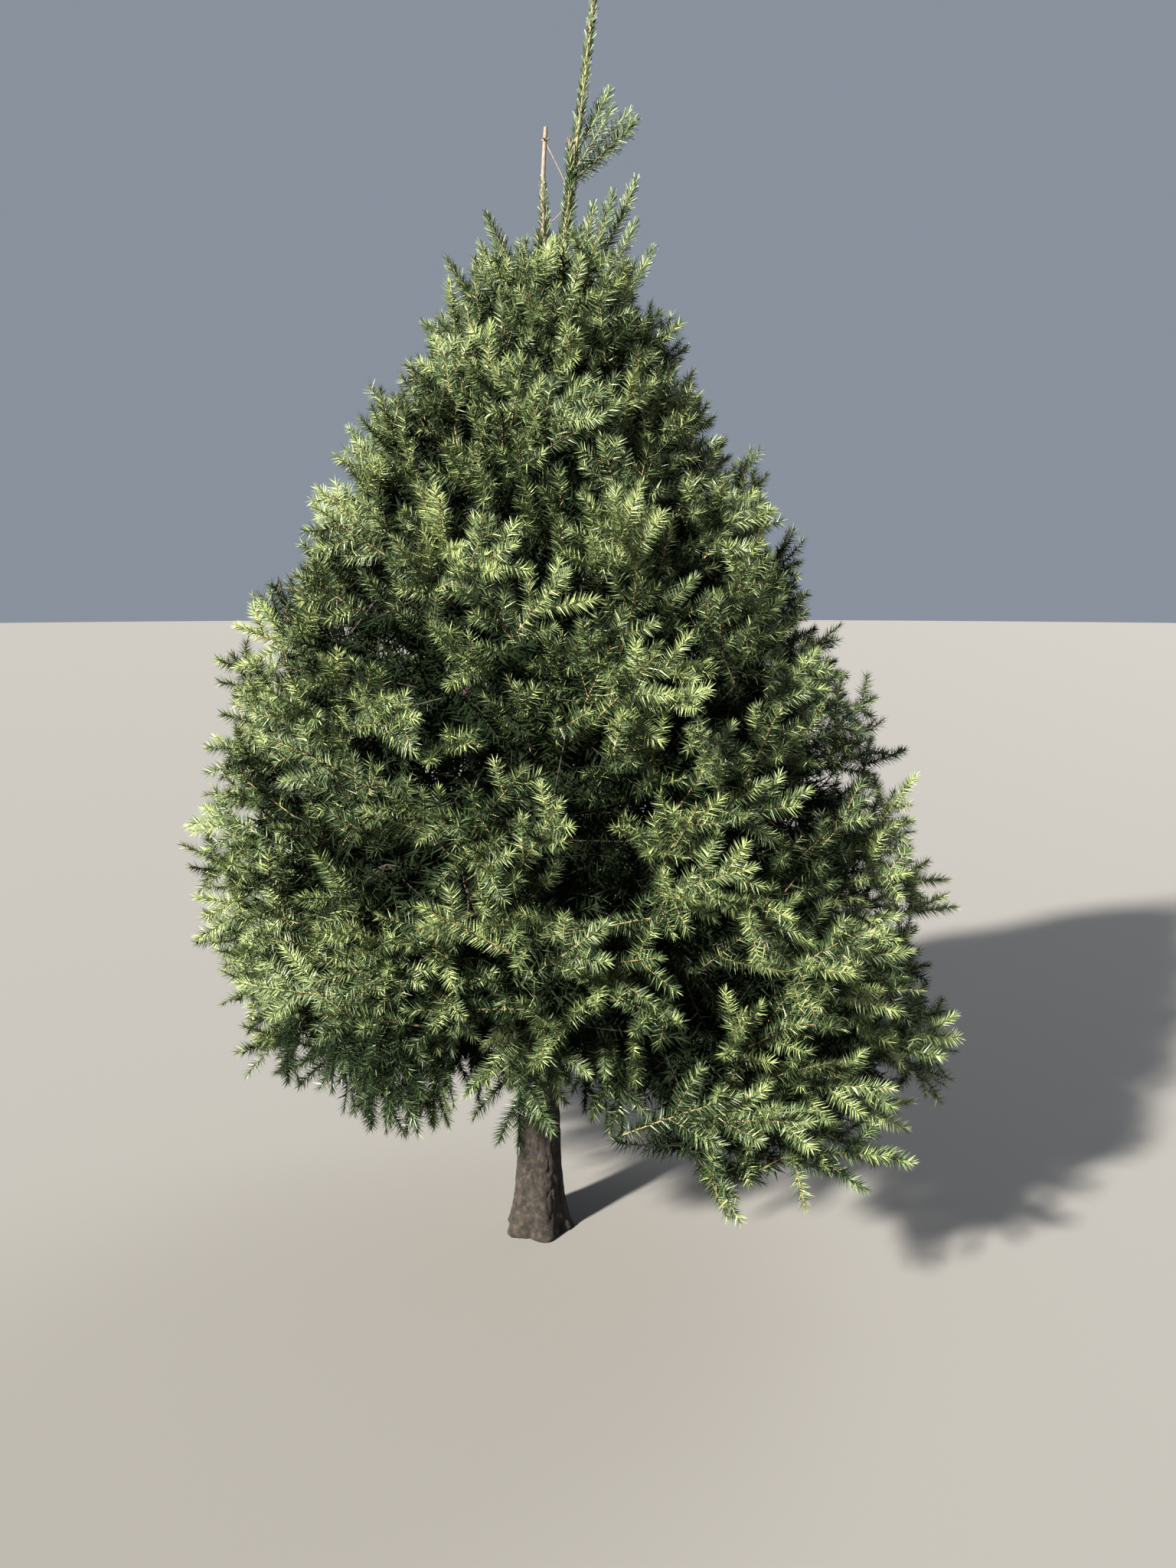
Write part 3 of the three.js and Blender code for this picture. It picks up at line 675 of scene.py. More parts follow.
def tints_at(depth, rng):
    """Outer sprays get lighter tints and inner and low ones darker tints, as painted light and painted shade
    as well as fresher and older needles, and each has its own tint.
    """
    stray = rng.normal(0, SPRAY_VARIETY, len(depth))
    value = SPRAY_TINT + (depth - DEPTH_FROM) / DEPTH_SPAN * EDGE_FRESHNESS_AND_LIGHT + stray
    return np.clip(np.round(value), 0, DEAD - 1).astype(int)


def shift_tint(tint, shift):
    """Fresher or older tints, where dead ones stay dead"""
    shifted = np.clip(np.round(tint + shift), 0, DEAD - 1).astype(int)
    return np.where(tint == DEAD, DEAD, shifted)


def grow_side_shoots(axes, face, tint, level, rng, shoots):
    """Pairs of shoots on both sides of each spray's axis, which reach forward"""
    count = len(axes.root)
    length = axes.length()
    for along, size, chance in SIDE_SHOOTS:
        for hand in (-1, 1):
            share = np.clip(along + rng.uniform(-SIDE_PLACE_STRAY, SIDE_PLACE_STRAY, count), 0, 1)
            root = axes.at(share)
            heading = axes.way(share)
            side = unit(np.cross(face, heading))
            spin = rng.normal(0, SIDE_SPIN, count)[:, None]
            out = side * np.cos(spin) * hand + face * np.sin(spin)
            angle = rng.uniform(*SIDE_ANGLES, count)[:, None]
            way = unit(heading * np.cos(angle) + out * np.sin(angle))
            reach = (length * size * rng.uniform(*SIDE_LENGTHS, count))[:, None]
            tip = root + way * reach + heading * reach * SIDE_FORWARD
            keep = (rng.random(count) < chance) & (past_box(tip) == 0).all(axis=1)
            if level != HANGING:
                keep &= tip[:, 2] > lowest_end(tip) - SIDE_SHOOT_DROP
            shoots.add(
                Curves(root, root + way * reach / 2, tip).pick(keep),
                face=unit(face + SIDE_FACE_STRAY * rng.normal(size=(count, 3)))[keep],
                tint=shift_tint(tint, rng.choice(SIDE_TINTS, count))[keep],
                level=level,
                bare=0.05,
                thickness=0.0012,
                **OUTER,
            )


def grow_sprays(space, limbs, level, rng, shoots, wood):
    """Sprays at the crown's edge"""
    axes, face, depth = spray_axes(space, rng)
    twigs = grow_twigs(axes, limbs)
    add_wood(wood, twigs, (TWIG_RADIUS, TWIG_RADIUS), rings=5, sides=3)
    tint = tints_at(depth, rng)
    shoots.add(axes, face=face, tint=tint, level=level, bare=0.04, thickness=0.0018, **OUTER)
    old_tint = shift_tint(tint, OLD_TWIG)
    old = dict(OUTER, spacing=TWIG_NEEDLE_SPACING, bud=False)
    shoots.add(twigs, face=face, tint=old_tint, level=level, bare=0.1, thickness=0.0, **old)
    grow_side_shoots(axes, face, tint, level, rng, shoots)


def grow_inner_shoots(space, limbs, stem, level, rng, shoots):
    """Single dark shoots from the limbs and the stem, which close the crown's inside, all in the darkest tint
    as painted shade
    """
    count = space.whorl.inner
    turn = rng.uniform(-1, 1, count)
    highest = min(space.whorl.top_lift * INNER_TOP, 1)
    lift = (np.arange(count) * GOLDEN_SHARE + rng.random()) % 1 * highest
    share = mix(*INNER_REACH_RANGE, np.sqrt(rng.random(count)))
    tip = space.place(space.reach_at(turn, lift) * share, turn, lift)
    outwards = space.outwards(turn)
    way = unit(outwards * INNER_OUTWARDS + UP * INNER_RISE + rng.normal(0, INNER_STRAY, (count, 3)))
    wanted = tip - way * INNER_LENGTH
    growing = np.concatenate([limbs.rings(INNER_PLACES).reshape(-1, 3), stem.rings(INNER_PLACES)[0]])
    root = growing[np.linalg.norm(wanted[:, None] - growing[None], axis=2).argmin(axis=1)]
    bend = (root + tip) / 2 + rng.normal(0, INNER_BOW, (count, 3))
    keep = tip[:, 2] > lowest_end(tip) + INNER_CLEARANCE
    axes = Curves(root, bend, tip).pick(keep)
    face = unit(outwards + UP * INNER_FACE_RISE + rng.normal(0, INNER_FACE_STRAY, (count, 3)))[keep]
    # The darkest tint, painted shade of the crown's inside
    tint = np.zeros(keep.sum(), int)
    inside = INSIDE_LOW if level < LOW_WHORLS else INSIDE_HIGH
    shoots.add(axes, face=face, tint=tint, level=inside, bare=0.12, thickness=0.0014, **INNER)


def grow_hanging_sprays(rng, shoots, wood):
    """Weak sprays that hang from the lower whorl's underside, most of them in the skirt's opening. Their
    tints are painted shade near the trunk and on the left, and painted light farther out.
    """
    count = HANGING_SPRAYS
    near_opening = np.arange(count) % ELSEWHERE > 0
    width = np.where(near_opening, SKIRT_OPENING * OPENING_SPREAD, 2 * math.pi)
    around = SKIRT_OPENING_MIDDLE + rng.uniform(-0.5, 0.5, count) * width
    out = np.stack([np.cos(around), np.sin(around), np.zeros(count)], axis=1)
    radius = rng.uniform(*HANGING_REACH, count)
    height = cone_height(WHORLS[1], radius, around) + rng.uniform(*HANGING_START, count)
    root = trunk_middle(height) + radius[:, None] * out
    length = rng.uniform(*HANGING_LENGTH, (count, 1))
    tip = root + unit(out * rng.uniform(*HANGING_SLANT, (count, 1)) - UP) * length
    axes = Curves(root, root + (out * HANGING_BEND_OUT - UP * HANGING_BEND_DOWN) * length, tip)
    bend = root * HANGING_TWIG_BEND + UP * HANGING_TWIG_RISE
    twig = Curves(trunk_middle(height + HANGING_TWIG_DROP), bend, root)
    add_wood(wood, twig, HANGING_TWIG_RADII, rings=7, sides=4)
    face = unit(out + rng.normal(0, HANGING_FACE_STRAY, (count, 3)))
    # Painted light farther out and on the right, painted shade near the trunk and on the left
    lit = (radius > PAINTED_LIGHT_BEYOND) & (root[:, 0] > SHADE_LEFT_OF)
    tint = np.where(lit, rng.integers(*LIT_TINTS, count), rng.integers(*UNLIT_TINTS, count))
    tint[:DEAD_SPRAYS] = DEAD
    values = dict(OUTER, spacing=NEEDLE_SPACING * HANGING_THINNING, lean=0.85)
    shoots.add(axes, face=face, tint=tint, level=HANGING, bare=0.12, thickness=0.0013, **values)
    grow_side_shoots(axes, face, tint, HANGING, rng, shoots)


def grow_mass(space, level, rng, shoots, wood):
    """Adds one mass's shoots, with their needles still to come, and its bare wood."""
    whorl = space.whorl
    stem = stem_curve(space)
    stem_radius = whorl.bough * BOUGH_END_SHARE if whorl.bough else whorl.stem
    add_wood(wood, stem, (stem_radius, STEM_END_RADIUS), rings=9, sides=7)
    limbs = grow_limbs(space, stem, rng)
    add_wood(wood, limbs, (LIMB_RADIUS, LIMB_END_RADIUS), rings=7, sides=5)
    grow_sprays(space, limbs, level, rng, shoots, wood)
    grow_inner_shoots(space, limbs, stem, level, rng, shoots)


# The leader and the second one
LEADER_SINK = 0.004  # how far its foot is sunk in the fork
LEADER_TIP = np.array([0.140, 0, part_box("leader")[1].z - BUD_LENGTH])
LEADER_BOW = np.array([0.004, 0, 0])
LEADER_RADIUS = 0.0068
SIDE_LEADER_ROOT = 2.12  # how far up the trunk it starts
SIDE_LEADER_ELBOW = np.array([0.008, 0.008, 2.250])
SIDE_LEADER_TIP = np.array([0.031, 0.012, 2.520])
SIDE_LEADER_RADII = (0.0066, 0.0044)
SIDE_LEADER_NEEDLED = (0.15, 0.48, 0.78)
SIDE_LEADER_BREAKS = (0.77, 0.946)
FOOT_NEEDLED = (2.13, 2.22)  # the heights on the trunk from which needles go up to the leader
FOOT_NEEDLED_END = 0.36
STUMP_START = 0.22
STUMP_BEND = np.array([0.083, -0.012, 2.42])
STUMP_TIP = np.array([0.082, -0.012, 2.480])

# Dead twigs and what is left of broken ones
STUBS = 4
STUB_LENGTH = 0.009
STUB_LENGTHS = (0.7, 1.3)
STUB_RISES = (0.2, 0.9)
STUB_RADII = (0.0034, 0.0018)
DEAD_TWIG_BOW = (0.003, 0.004, 0)
DEAD_TWIG_END = 0.7

# Needles and shoots at the top
LEADER_TINT = TINT_NAMES.index("needles_mid")
TOP_NEEDLE_WIDTH = 0.0018
TOP_NEEDLE_SPACING = 0.0011
STEM_NEEDLE_SPACING = 0.0006
STEM_FACE = (0.0, -1.0, 0.2)
TOP_FACE = (0.0, -0.6, 0.8)
TOP_SAG = 0.2
LEADER_SHOOT_RISE = 0.1
TRUNK_SHOOT_RISE = 0.35


@dataclass
class TopShoot:
    """A shoot that stands clear at the top: how far up it starts, its tip, and how much of it is bare"""

    start: float
    tip: tuple
    bare: float = 0.15
    density: float = 1.5
    radius: float = 0.0021
    lean: float = 0.8


# Side shoots of the leader, which start at shares of its length
LEADER_SHOOTS = [
    TopShoot(0.28, (0.220, -0.030, 2.516), bare=0.02, density=3.2, radius=0.0026, lean=1.0),
    TopShoot(0.37, (0.166, 0.025, 2.596), bare=0.25, density=1.6),
    TopShoot(0.33, (0.210, 0.045, 2.561), bare=0.30, density=0.8, radius=0.0024),
    TopShoot(0.31, (0.172, -0.045, 2.538), bare=0.10, density=1.1),
]
# Shoots of the trunk's last whorl, which start at heights on it
TRUNK_SHOOTS = [
    TopShoot(2.14, (0.220, -0.050, 2.390), bare=0.10, density=1.8, radius=0.0026),
    TopShoot(2.12, (0.172, -0.075, 2.356), bare=0.25, density=1.6),
    TopShoot(2.11, (0.224, 0.040, 2.332)),
    TopShoot(2.03, (0.258, -0.040, 2.254)),
    TopShoot(1.97, (0.335, 0.020, 2.060)),
    TopShoot(2.12, (-0.091, -0.040, 2.322), bare=0.10, density=1.8, radius=0.0026),
    TopShoot(2.09, (-0.114, 0.050, 2.287)),
    TopShoot(2.03, (-0.180, -0.030, 2.235)),
    TopShoot(1.97, (-0.240, 0.030, 2.115)),
    TopShoot(2.12, (0.012, 0.110, 2.322)),
    TopShoot(2.13, (0.118, 0.100, 2.340)),
    TopShoot(2.08, (0.054, -0.090, 2.262), density=1.8),
    TopShoot(2.10, (0.132, -0.060, 2.336), density=1.6),
    TopShoot(2.09, (0.020, -0.130, 2.262)),
    TopShoot(2.10, (0.105, -0.140, 2.268)),
]


def grow_top_shoot(shoot, root, rise, shoots):
    """One shoot from a root, which starts out sideways and turns up by rise"""
    tip = np.array([shoot.tip])
    middle = (root + tip) / 2
    bend = middle + (tip - middle) * [rise, rise, 0] - UP * rise * np.linalg.norm(tip - root) * TOP_SAG
    values = dict(OUTER, width=TOP_NEEDLE_WIDTH, lean=shoot.lean, blunt=True)
    values.update(spacing=TOP_NEEDLE_SPACING / shoot.density, bare=shoot.bare, thickness=shoot.radius)
    face, tint = np.array([TOP_FACE]), np.array([LEADER_TINT])
    shoots.add(Curves(root, bend, tip), face=face, tint=tint, level=LEADERS, **values)


def clothe_stem(stem, shoots, **own):
    """Needles close round a stem at the top"""
    values = dict(OUTER, width=TOP_NEEDLE_WIDTH, spacing=STEM_NEEDLE_SPACING, blunt=True)
    values.update(bud=False, thickness=0.0)
    values.update(own)
    shoots.add(stem, face=np.array(STEM_FACE), tint=LEADER_TINT, level=LEADERS, bare=0.0, **values)


def grow_stubs(middle, rng, wood):
    """Broken-off twigs round a bare stem"""
    start = rng.uniform(0, 2 * math.pi)
    for i in range(STUBS):
        turn = start + i * math.pi * 2 / STUBS
        out = np.array([math.cos(turn), math.sin(turn), rng.uniform(*STUB_RISES)])
        tip = middle + out * STUB_LENGTH * rng.uniform(*STUB_LENGTHS)
        stub = Curves(middle, (middle + tip) / 2, tip)
        add_wood(wood, stub, STUB_RADII, rings=3, sides=5, kind=BARE_WOOD)


def grow_dead_twig(root, tip, radius, wood):
    twig = Curves(root, (np.asarray(root) + np.asarray(tip)) / 2 + DEAD_TWIG_BOW, tip)
    add_wood(wood, twig, (radius, radius * DEAD_TWIG_END), rings=6, sides=5, kind=BARE_WOOD)


def grow_leaders(rng, shoots, wood):
    """The two leaders, with their shoots and what is left of their twigs"""
    root = trunk_middle(FORK_HEIGHT - LEADER_SINK)
    leader = Curves(root, (root + LEADER_TIP) / 2 + LEADER_BOW, LEADER_TIP)
    clothe_stem(leader, shoots, needle=0.026, lean=0.46, bud=True, thickness=LEADER_RADIUS)
    low, high = (trunk_middle(height) for height in FOOT_NEEDLED)
    clothe_stem(Curves(low, high, leader.at([FOOT_NEEDLED_END])), shoots, needle=0.030, lean=0.62)
    for shoot in LEADER_SHOOTS:
        grow_top_shoot(shoot, leader.at([shoot.start]), LEADER_SHOOT_RISE, shoots)
    for shoot in TRUNK_SHOOTS:
        grow_top_shoot(shoot, trunk_middle(shoot.start)[None], TRUNK_SHOOT_RISE, shoots)

    # The second leader died back: needles on its lower part, and bare wood with broken twigs over them
    side = Curves(trunk_middle(SIDE_LEADER_ROOT), SIDE_LEADER_ELBOW, SIDE_LEADER_TIP)
    add_wood(wood, side, SIDE_LEADER_RADII, rings=16, sides=8, kind=BARE_WOOD)
    needled = Curves(*(side.at([share]) for share in SIDE_LEADER_NEEDLED))
    clothe_stem(needled, shoots, needle=0.024, lean=0.6)
    for share in SIDE_LEADER_BREAKS:
        grow_stubs(side.at([share])[0], rng, wood)

    # Bare twigs between the two, and the stumps of a third leader with the needles round its foot
    grow_dead_twig(side.at([0.946])[0], leader.at([0.24])[0], 0.0019, wood)
    grow_dead_twig(side.at([0.56])[0], leader.at([0.20])[0], 0.0014, wood)
    grow_dead_twig(leader.at([STUMP_START])[0], (0.0820, -0.012, 2.491), 0.0056, wood)
    grow_dead_twig(leader.at([0.30])[0], (0.0930, -0.016, 2.476), 0.0036, wood)
    stump = Curves(leader.at([STUMP_START]), STUMP_BEND, STUMP_TIP)
    clothe_stem(stump, shoots, needle=0.022, lean=0.5, spacing=0.0009)


def needles_of(shoots, rng):
    """Every needle of the shoots. A blunt one is a blade of two triangles, a little twisted, and a pointed
    one is a single triangle. Gives both as parts."""
    curves = Curves(shoots["root"], shoots["bend"], shoots["tip"])
    bare = shoots["bare"]
    count = np.maximum(curves.length() * (1 - bare) / shoots["spacing"], FEWEST_NEEDLES).astype(int)
    owner = np.repeat(np.arange(len(count)), count)
    number = np.arange(len(owner)) - np.repeat(np.cumsum(count) - count, count)
    share = (number + rng.random(len(owner))) / count[owner]
    own = curves.pick(owner)
    spot = own.at(mix(bare[owner], 1, share))
    along = own.way(mix(bare[owner], 1, share))
    side = unit(np.cross(along, shoots["face"][owner]))
    up = np.cross(side, along)

    # Needles stand all round the shoot, but those underneath are turned to its sides
    turn = number * GOLDEN_ANGLE + rng.normal(0, TURN_ROUND_STRAY, len(owner))
    rise = np.sin(turn)
    rise = np.where(rise < 0, rise * RISE_BELOW, rise * RISE_ABOVE)
    out = unit(side * np.cos(turn)[:, None] + up * rise[:, None])
    lean = np.interp(share, LEAN_PLACES, LEANS) * shoots["lean"][owner]
    lean = (lean + rng.normal(0, LEAN_STRAY, len(owner)))[:, None]
    heading = unit(along * np.cos(lean) + out * np.sin(lean))
    size = shoots["needle"][owner] * np.interp(share, SIZE_PLACES, SIZES)
    size = (size * rng.uniform(*NEEDLE_LENGTHS, len(owner)))[:, None]
    blade = unit(np.cross(heading, up + rng.normal(0, BLADE_STRAY, (len(owner), 3))))
    facing = np.cross(blade, heading)
    width = (shoots["width"][owner] * rng.uniform(*NEEDLE_WIDTHS, len(owner)))[:, None]
    root = blade * width / 2
    end = (blade + facing * rng.normal(0, NEEDLE_TWIST, (len(owner), 1))) * width * NEEDLE_END / 2
    tip = spot + heading * size

    # Needles get lighter tints towards the shoot's tip, partly as fresher needles and partly as painted
    # light, and differ at random, except on the shoots inside the crown, which keep their darkest tint as
    # painted shade
    light_shift = TIP_FRESH_AND_LIT * (share - TIP_LIGHT_FROM) + rng.normal(0, NEEDLE_VARIETY, len(owner))
    shaded = np.isin(shoots["level"], (INSIDE_LOW, INSIDE_HIGH))[owner]
    light_shift = np.where(shoots["level"][owner] == HANGING, light_shift * HANGING_LIGHT_SHIFT, light_shift)
    tint = shift_tint(shoots["tint"][owner], np.where(shaded, 0, light_shift))
    blunt = shoots["blunt"][owner].astype(bool)
    parts = []
    for keep, corners, pattern in (
        (blunt, [spot - root, spot + root, tip + end, tip - end], [[0, 1, 2], [0, 2, 3]]),
        (~blunt, [spot - root, spot + root, tip], [[0, 1, 2]]),
    ):
        vertices = np.stack(corners, axis=1)[keep]
        first = np.arange(len(vertices))[:, None, None] * len(corners)
        faces = (first + np.array(pattern)).reshape(-1, 3)
        parts.append((vertices.reshape(-1, 3), faces, np.repeat(tint[keep], len(pattern))))
    return parts


def shoot_wood(shoots):
    """The thin stems of the shoots that aren't bare wood already"""
    curves = Curves(shoots["root"], shoots["bend"], shoots["tip"])
    inside = np.isin(shoots["level"], (INSIDE_LOW, INSIDE_HIGH))
    hanging = shoots["level"] == HANGING
    leaders = (shoots["level"] == LEADERS) & (shoots["thickness"] > 0)
    outside = ~inside & ~hanging & ~leaders & (shoots["thickness"] > 0)
    parts = []
    for keep, rings, sides, kind in (
        # The stems inside the crown and those that hang get the dark twig bark, not young bark, partly as
        # painted shade
        (inside, 2, 3, TWIG_BARK),
        (hanging, 3, 3, TWIG_BARK),
        (outside, 3, 3, YOUNG_BARK),
        (leaders, 9, 6, LEADER_BARK),
    ):
        radii = shoots["thickness"][keep][:, None] * np.linspace(1, SHOOT_END, rings)
        parts.append((*tubes(curves.pick(keep).rings(rings), radii, sides), kind))
    return parts


def buds_of(shoots, rng):
    """A pointed bud on the tip of each shoot that has one"""
    curves = Curves(shoots["root"], shoots["bend"], shoots["tip"]).pick(shoots["bud"].astype(bool))
    tip, way = curves.tip, curves.way(np.ones(len(curves.tip)))
    size = rng.uniform(*BUD_SIZES, (len(tip), 1))
    side = unit(np.cross(way, rng.normal(size=(len(tip), 3))))
    up = np.cross(side, way)
    corners = [tip - way * BUD_SINK, tip + way * BUD_LENGTH * size]
    pattern = []
    for i in range(3):
        angle = i * math.pi * 2 / 3
        off = side * math.cos(angle) + up * math.sin(angle)
        corners.append(tip + way * BUD_LENGTH * BUD_WIDEST * size + off * BUD_RADIUS * size)
        pattern.append([0, 2 + i, 2 + (i + 1) % 3])
        pattern.append([1, 2 + (i + 1) % 3, 2 + i])
    faces = (np.arange(len(tip))[:, None, None] * len(corners) + np.array(pattern)).reshape(-1, 3)
    return np.stack(corners, axis=1).reshape(-1, 3), faces


def lattice_noise(across, up, cells, seed):
    """Smooth noise from 0 to 1 over a grid that closes on itself across. across runs from 0 to 1."""
    rows = int(np.ceil(up.max())) + 2
    grid = np.random.default_rng(seed).random((rows, cells))
    x = across * cells
    column, row = np.floor(x).astype(int), np.floor(up).astype(int)
    fx, fy = x - column, up - row
    fx, fy = fx * fx * (3 - 2 * fx), fy * fy * (3 - 2 * fy)
    one, two = column % cells, (column + 1) % cells
    low = mix(grid[row, one], grid[row, two], fx)
    high = mix(grid[row + 1, one], grid[row + 1, two], fx)
    return mix(low, high, fy)


def bark_relief(across, height, seed, plates, flakes):
    """How far the bark stands out, where across runs from 0 to 1 round the wood and height along it"""
    sway = lattice_noise(across, height / SWAY_LENGTH, SWAY_CELLS, seed) * SWAY
    wander = (across + sway) % 1
    rough = lattice_noise(wander, height / PLATE_LENGTH, plates, seed + 1)
    furrow = np.abs(rough * 2 - 1)
    fine = lattice_noise(wander, height / FLAKE_LENGTH, flakes, seed + 2)
    return FURROW_DEPTH * np.minimum(furrow * FURROW_SHARPNESS, 1) + FLAKE_DEPTH * fine - RELIEF_INSET


def bark_trunk():
    """The trunk, from the flat cut at the ground to its fork, with its bark's relief"""
    sides = TRUNK_SIDES
    fine = np.arange(0, BARE_HEIGHT, BARK_STEP)
    heights = np.concatenate([fine, np.linspace(BARE_HEIGHT, FORK_HEIGHT, HIDDEN_RINGS)])
    angle = np.arange(sides) * 2 * math.pi / sides
    height, around = np.meshgrid(heights, angle, indexing="ij")
    relief = bark_relief(around / (2 * math.pi), height, 11, TRUNK_PLATES, TRUNK_FLAKES)
    radius = trunk_radius(height) + flare(height, around) + relief * trunk_radius(height) / FOOT_RADIUS
    points = trunk_middle(height)
    points[..., 0] += radius * np.cos(around)
    points[..., 1] += radius * np.sin(around)
    rows = len(heights)
    row = np.arange(rows - 1)[:, None] * sides
    here = (row + np.arange(sides)).ravel()
    beside = (row + (np.arange(sides) + 1) % sides).ravel()
    faces = np.concatenate([
        np.stack([here, beside, beside + sides], axis=-1),
        np.stack([here, beside + sides, here + sides], axis=-1),
    ])
    vertices = points.reshape(-1, 3)
    caps = np.stack([trunk_middle(0.0), trunk_middle(FORK_HEIGHT)])
    ring = np.arange(sides)
    bottom = np.stack([np.full(sides, len(vertices)), (ring + 1) % sides, ring], axis=-1)
    last = (rows - 1) * sides
    top = np.stack([np.full(sides, len(vertices) + 1), last + ring, last + (ring + 1) % sides], axis=-1)
    return np.concatenate([vertices, caps]), np.concatenate([faces, bottom, top])


def bark_boughs():
    """Each bough, with a collar where it leaves the trunk and its bark's relief"""
    parts = []
    along = np.linspace(0, 1, BOUGH_RINGS)
    across = np.arange(BOUGH_SIDES) / BOUGH_SIDES
    for level, whorl, i, space in spaces():
        if not whorl.bough:
            continue
        curve = bough_curve(space)
        distance, around = np.meshgrid(along * curve.length()[0], across, indexing="ij")
        seed = 20 + 10 * level + i
        relief = bark_relief(around, distance, seed, BOUGH_PLATES, BOUGH_FLAKES)
        taper = mix(whorl.bough, whorl.bough * BOUGH_END_SHARE, along)
        radii = (taper * (1 + COLLAR * np.exp(-along / COLLAR_LENGTH)))[:, None]
        radii = radii + relief * BOUGH_RELIEF * radii / whorl.bough
        parts.append((*tubes(curve.rings(BOUGH_RINGS), radii[None], BOUGH_SIDES), 0))
    return parts


def add_node(material, kind, **inputs):
    """Adds a shader node with constant inputs."""
    made = material.node_tree.nodes.new(kind)
    for key, value in inputs.items():
        made.inputs[key].default_value = value
    return made


def link(material, source, output, target, socket):
    material.node_tree.links.new(source.outputs[output], target.inputs[socket])


def blank_material(name):
    material = bpy.data.materials.new(name)
    material.use_nodes = True
    return material, material.node_tree.nodes["Principled BSDF"]


def needle_material(name, colour):
    """One tint of needle: dull inside the crown, and with a soft gloss outside"""
    material, shader = blank_material(name)
    shader.inputs["Base Color"].default_value = (*colour, 1)
    dull = TINT_NAMES.index(name) < DULL_TINTS
    shader.inputs["Roughness"].default_value = 0.9 if dull else 0.45
    shader.inputs["Specular IOR Level"].default_value = 0.05 if dull else 0.4
    material.diffuse_color = (*colour, 1)
    return material


def add_ramp(material, stops):
    made = add_node(material, "ShaderNodeValToRGB")
    elements = made.color_ramp.elements
    while len(elements) < len(stops):
        elements.new(0.5)
    for element, (place, colour) in zip(elements, stops):
        element.position = place
        element.color = (*colour, 1)
    return made


def wood_material(name, stops, scale, bump_scale, bump_depth, roughness):
    """Wood or bark: noise for its colour and a finer noise for its bump"""
    material, shader = blank_material(name)
    shader.inputs["Roughness"].default_value = roughness
    place = add_node(material, "ShaderNodeTexCoord")
    noise = add_node(material, "ShaderNodeTexNoise", Scale=scale, Detail=6.0, Roughness=0.65)
    colours = add_ramp(material, stops)
    fine = add_node(material, "ShaderNodeTexNoise", Scale=bump_scale, Detail=5.0, Roughness=0.7)
    bump = add_node(material, "ShaderNodeBump", Strength=0.6, Distance=bump_depth)
    link(material, place, "Object", noise, "Vector")
    link(material, place, "Object", fine, "Vector")
    link(material, noise, "Fac", colours, "Fac")
    link(material, colours, "Color", shader, "Base Color")
    link(material, fine, "Fac", bump, "Height")
    link(material, bump, "Normal", shader, "Normal")
    return material


def make_camera():
    """The photograph's camera: level with the tree's upper crown and looking a little down"""
    data = bpy.data.cameras.new("camera")
    data.sensor_width = SENSOR
    data.lens = FOCAL_LENGTH / PHOTO_HEIGHT * SENSOR
    data.clip_end = 200
    camera = bpy.data.objects.new("camera", data)
    camera.location = CAMERA_PLACE
    camera.rotation_euler = (math.radians(90 - CAMERA_TILT), 0, 0)
    bpy.context.scene.collection.objects.link(camera)
    bpy.context.scene.camera = camera


def add_sun(name, strength, softness, way, colour=(1, 1, 1)):
    """A light from far away that shines along a way, its softness in degrees"""
    data = bpy.data.lights.new(name, "SUN")
    data.energy = strength
    data.angle = math.radians(softness)
    data.color = colour
    light = bpy.data.objects.new(name, data)
    light.rotation_euler = Vector(way).to_track_quat("-Z", "Y").to_euler()
    bpy.context.scene.collection.objects.link(light)


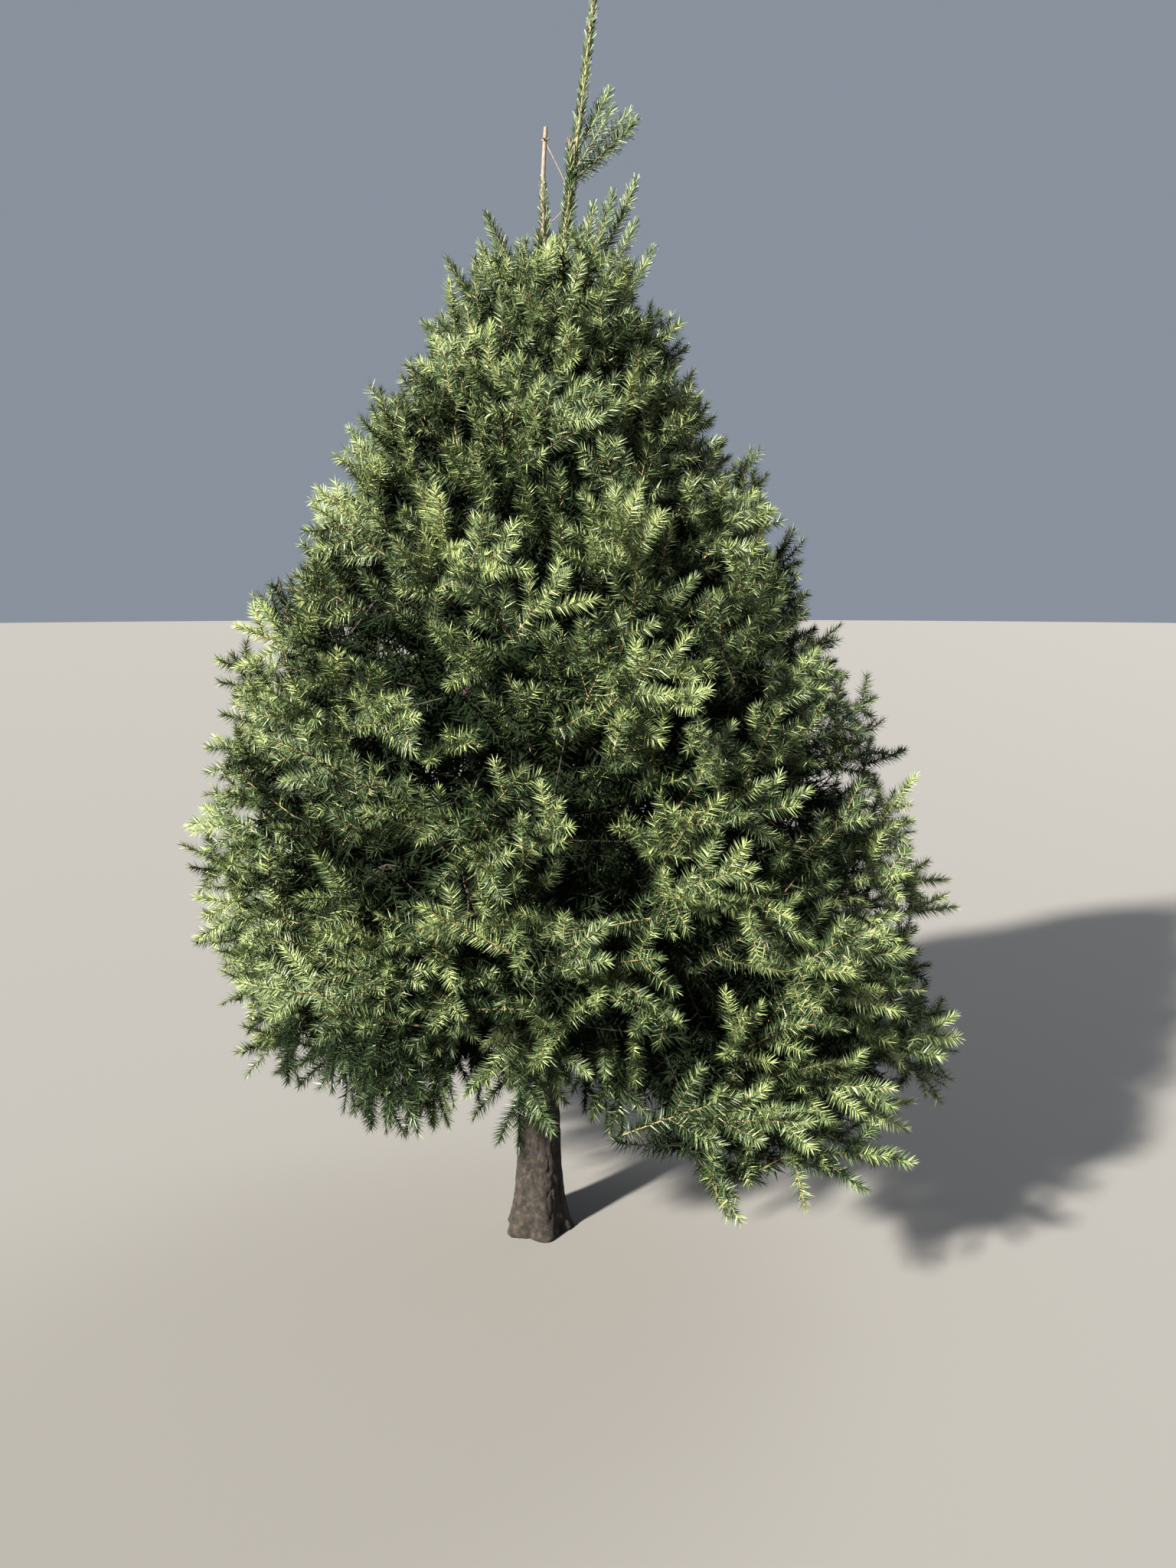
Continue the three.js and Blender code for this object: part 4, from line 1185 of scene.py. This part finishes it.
def make_studio():
    """A plain pale floor, a soft sky and two lights"""
    floor_material, shader = blank_material("floor")
    shader.inputs["Base Color"].default_value = FLOOR_COLOUR
    shader.inputs["Roughness"].default_value = 0.9
    bpy.ops.mesh.primitive_circle_add(
        vertices=96, radius=FLOOR_RADIUS, fill_type="NGON", location=FLOOR_PLACE
    )
    floor = bpy.context.object
    floor.name = "floor"
    floor.data.materials.append(floor_material)

    world = bpy.data.worlds.new("studio")
    world.use_nodes = True
    background = world.node_tree.nodes["Background"]
    background.inputs["Color"].default_value = SKY_COLOUR
    background.inputs["Strength"].default_value = SKY_STRENGTH
    bpy.context.scene.world = world
    bpy.context.scene.view_settings.view_transform = "Standard"

    add_sun("key", 19, 3.5, KEY_WAY, (1.0, 0.94, 0.84))
    add_sun("fill", 2.0, 40, FILL_WAY)


def build_tree():
    greens = [needle_material(name, colour) for name, colour in TINTS.items()]
    woods = {name: wood_material(name, **look) for name, look in WOODS.items()}

    boughs = [f"bough_{whorl.name}_{i + 1}" for _, whorl, i, _ in spaces() if whorl.bough]
    make_piece("bark_trunk", [(*bark_trunk(), 0)], [woods["bark"]], ["trunk"], True)
    make_piece("bark_boughs", bark_boughs(), [woods["bark"]], boughs, True)

    shoots = Shoots()
    wood = []
    for level, _, i, space in spaces():
        grow_mass(space, level, np.random.default_rng(100 * (level + 1) + i), shoots, wood)
    grow_hanging_sprays(np.random.default_rng(5), shoots, wood)
    grow_leaders(np.random.default_rng(7), shoots, wood)
    shoots = shoots.joined()

    rng = np.random.default_rng(99)
    nodes = {w.name: [f"foliage_{w.name}_{i + 1}" for i in range(w.masses)] for w in WHORLS}
    nodes.update(leaders=["leader", "side_leader"], inside_low=[], inside_high=[], hanging=[])
    for level, (name, replaced) in enumerate(nodes.items()):
        group = {key: value[shoots["level"] == level] for key, value in shoots.items()}
        make_piece(f"needles_{name}", needles_of(group, rng), greens, replaced, False)
    twigs = [(*tubes(points, radii, sides), kind) for points, radii, sides, kind in wood]
    twigs += shoot_wood(shoots)
    every_mass = [node for replaced in nodes.values() for node in replaced]
    make_piece("twigs", twigs, [woods[kind] for kind in WOOD_KINDS], every_mass, True)
    make_piece("buds", [(*buds_of(shoots, rng), 0)], [woods["bud_scales"]], None, True)


build_tree()
make_camera()
make_studio()
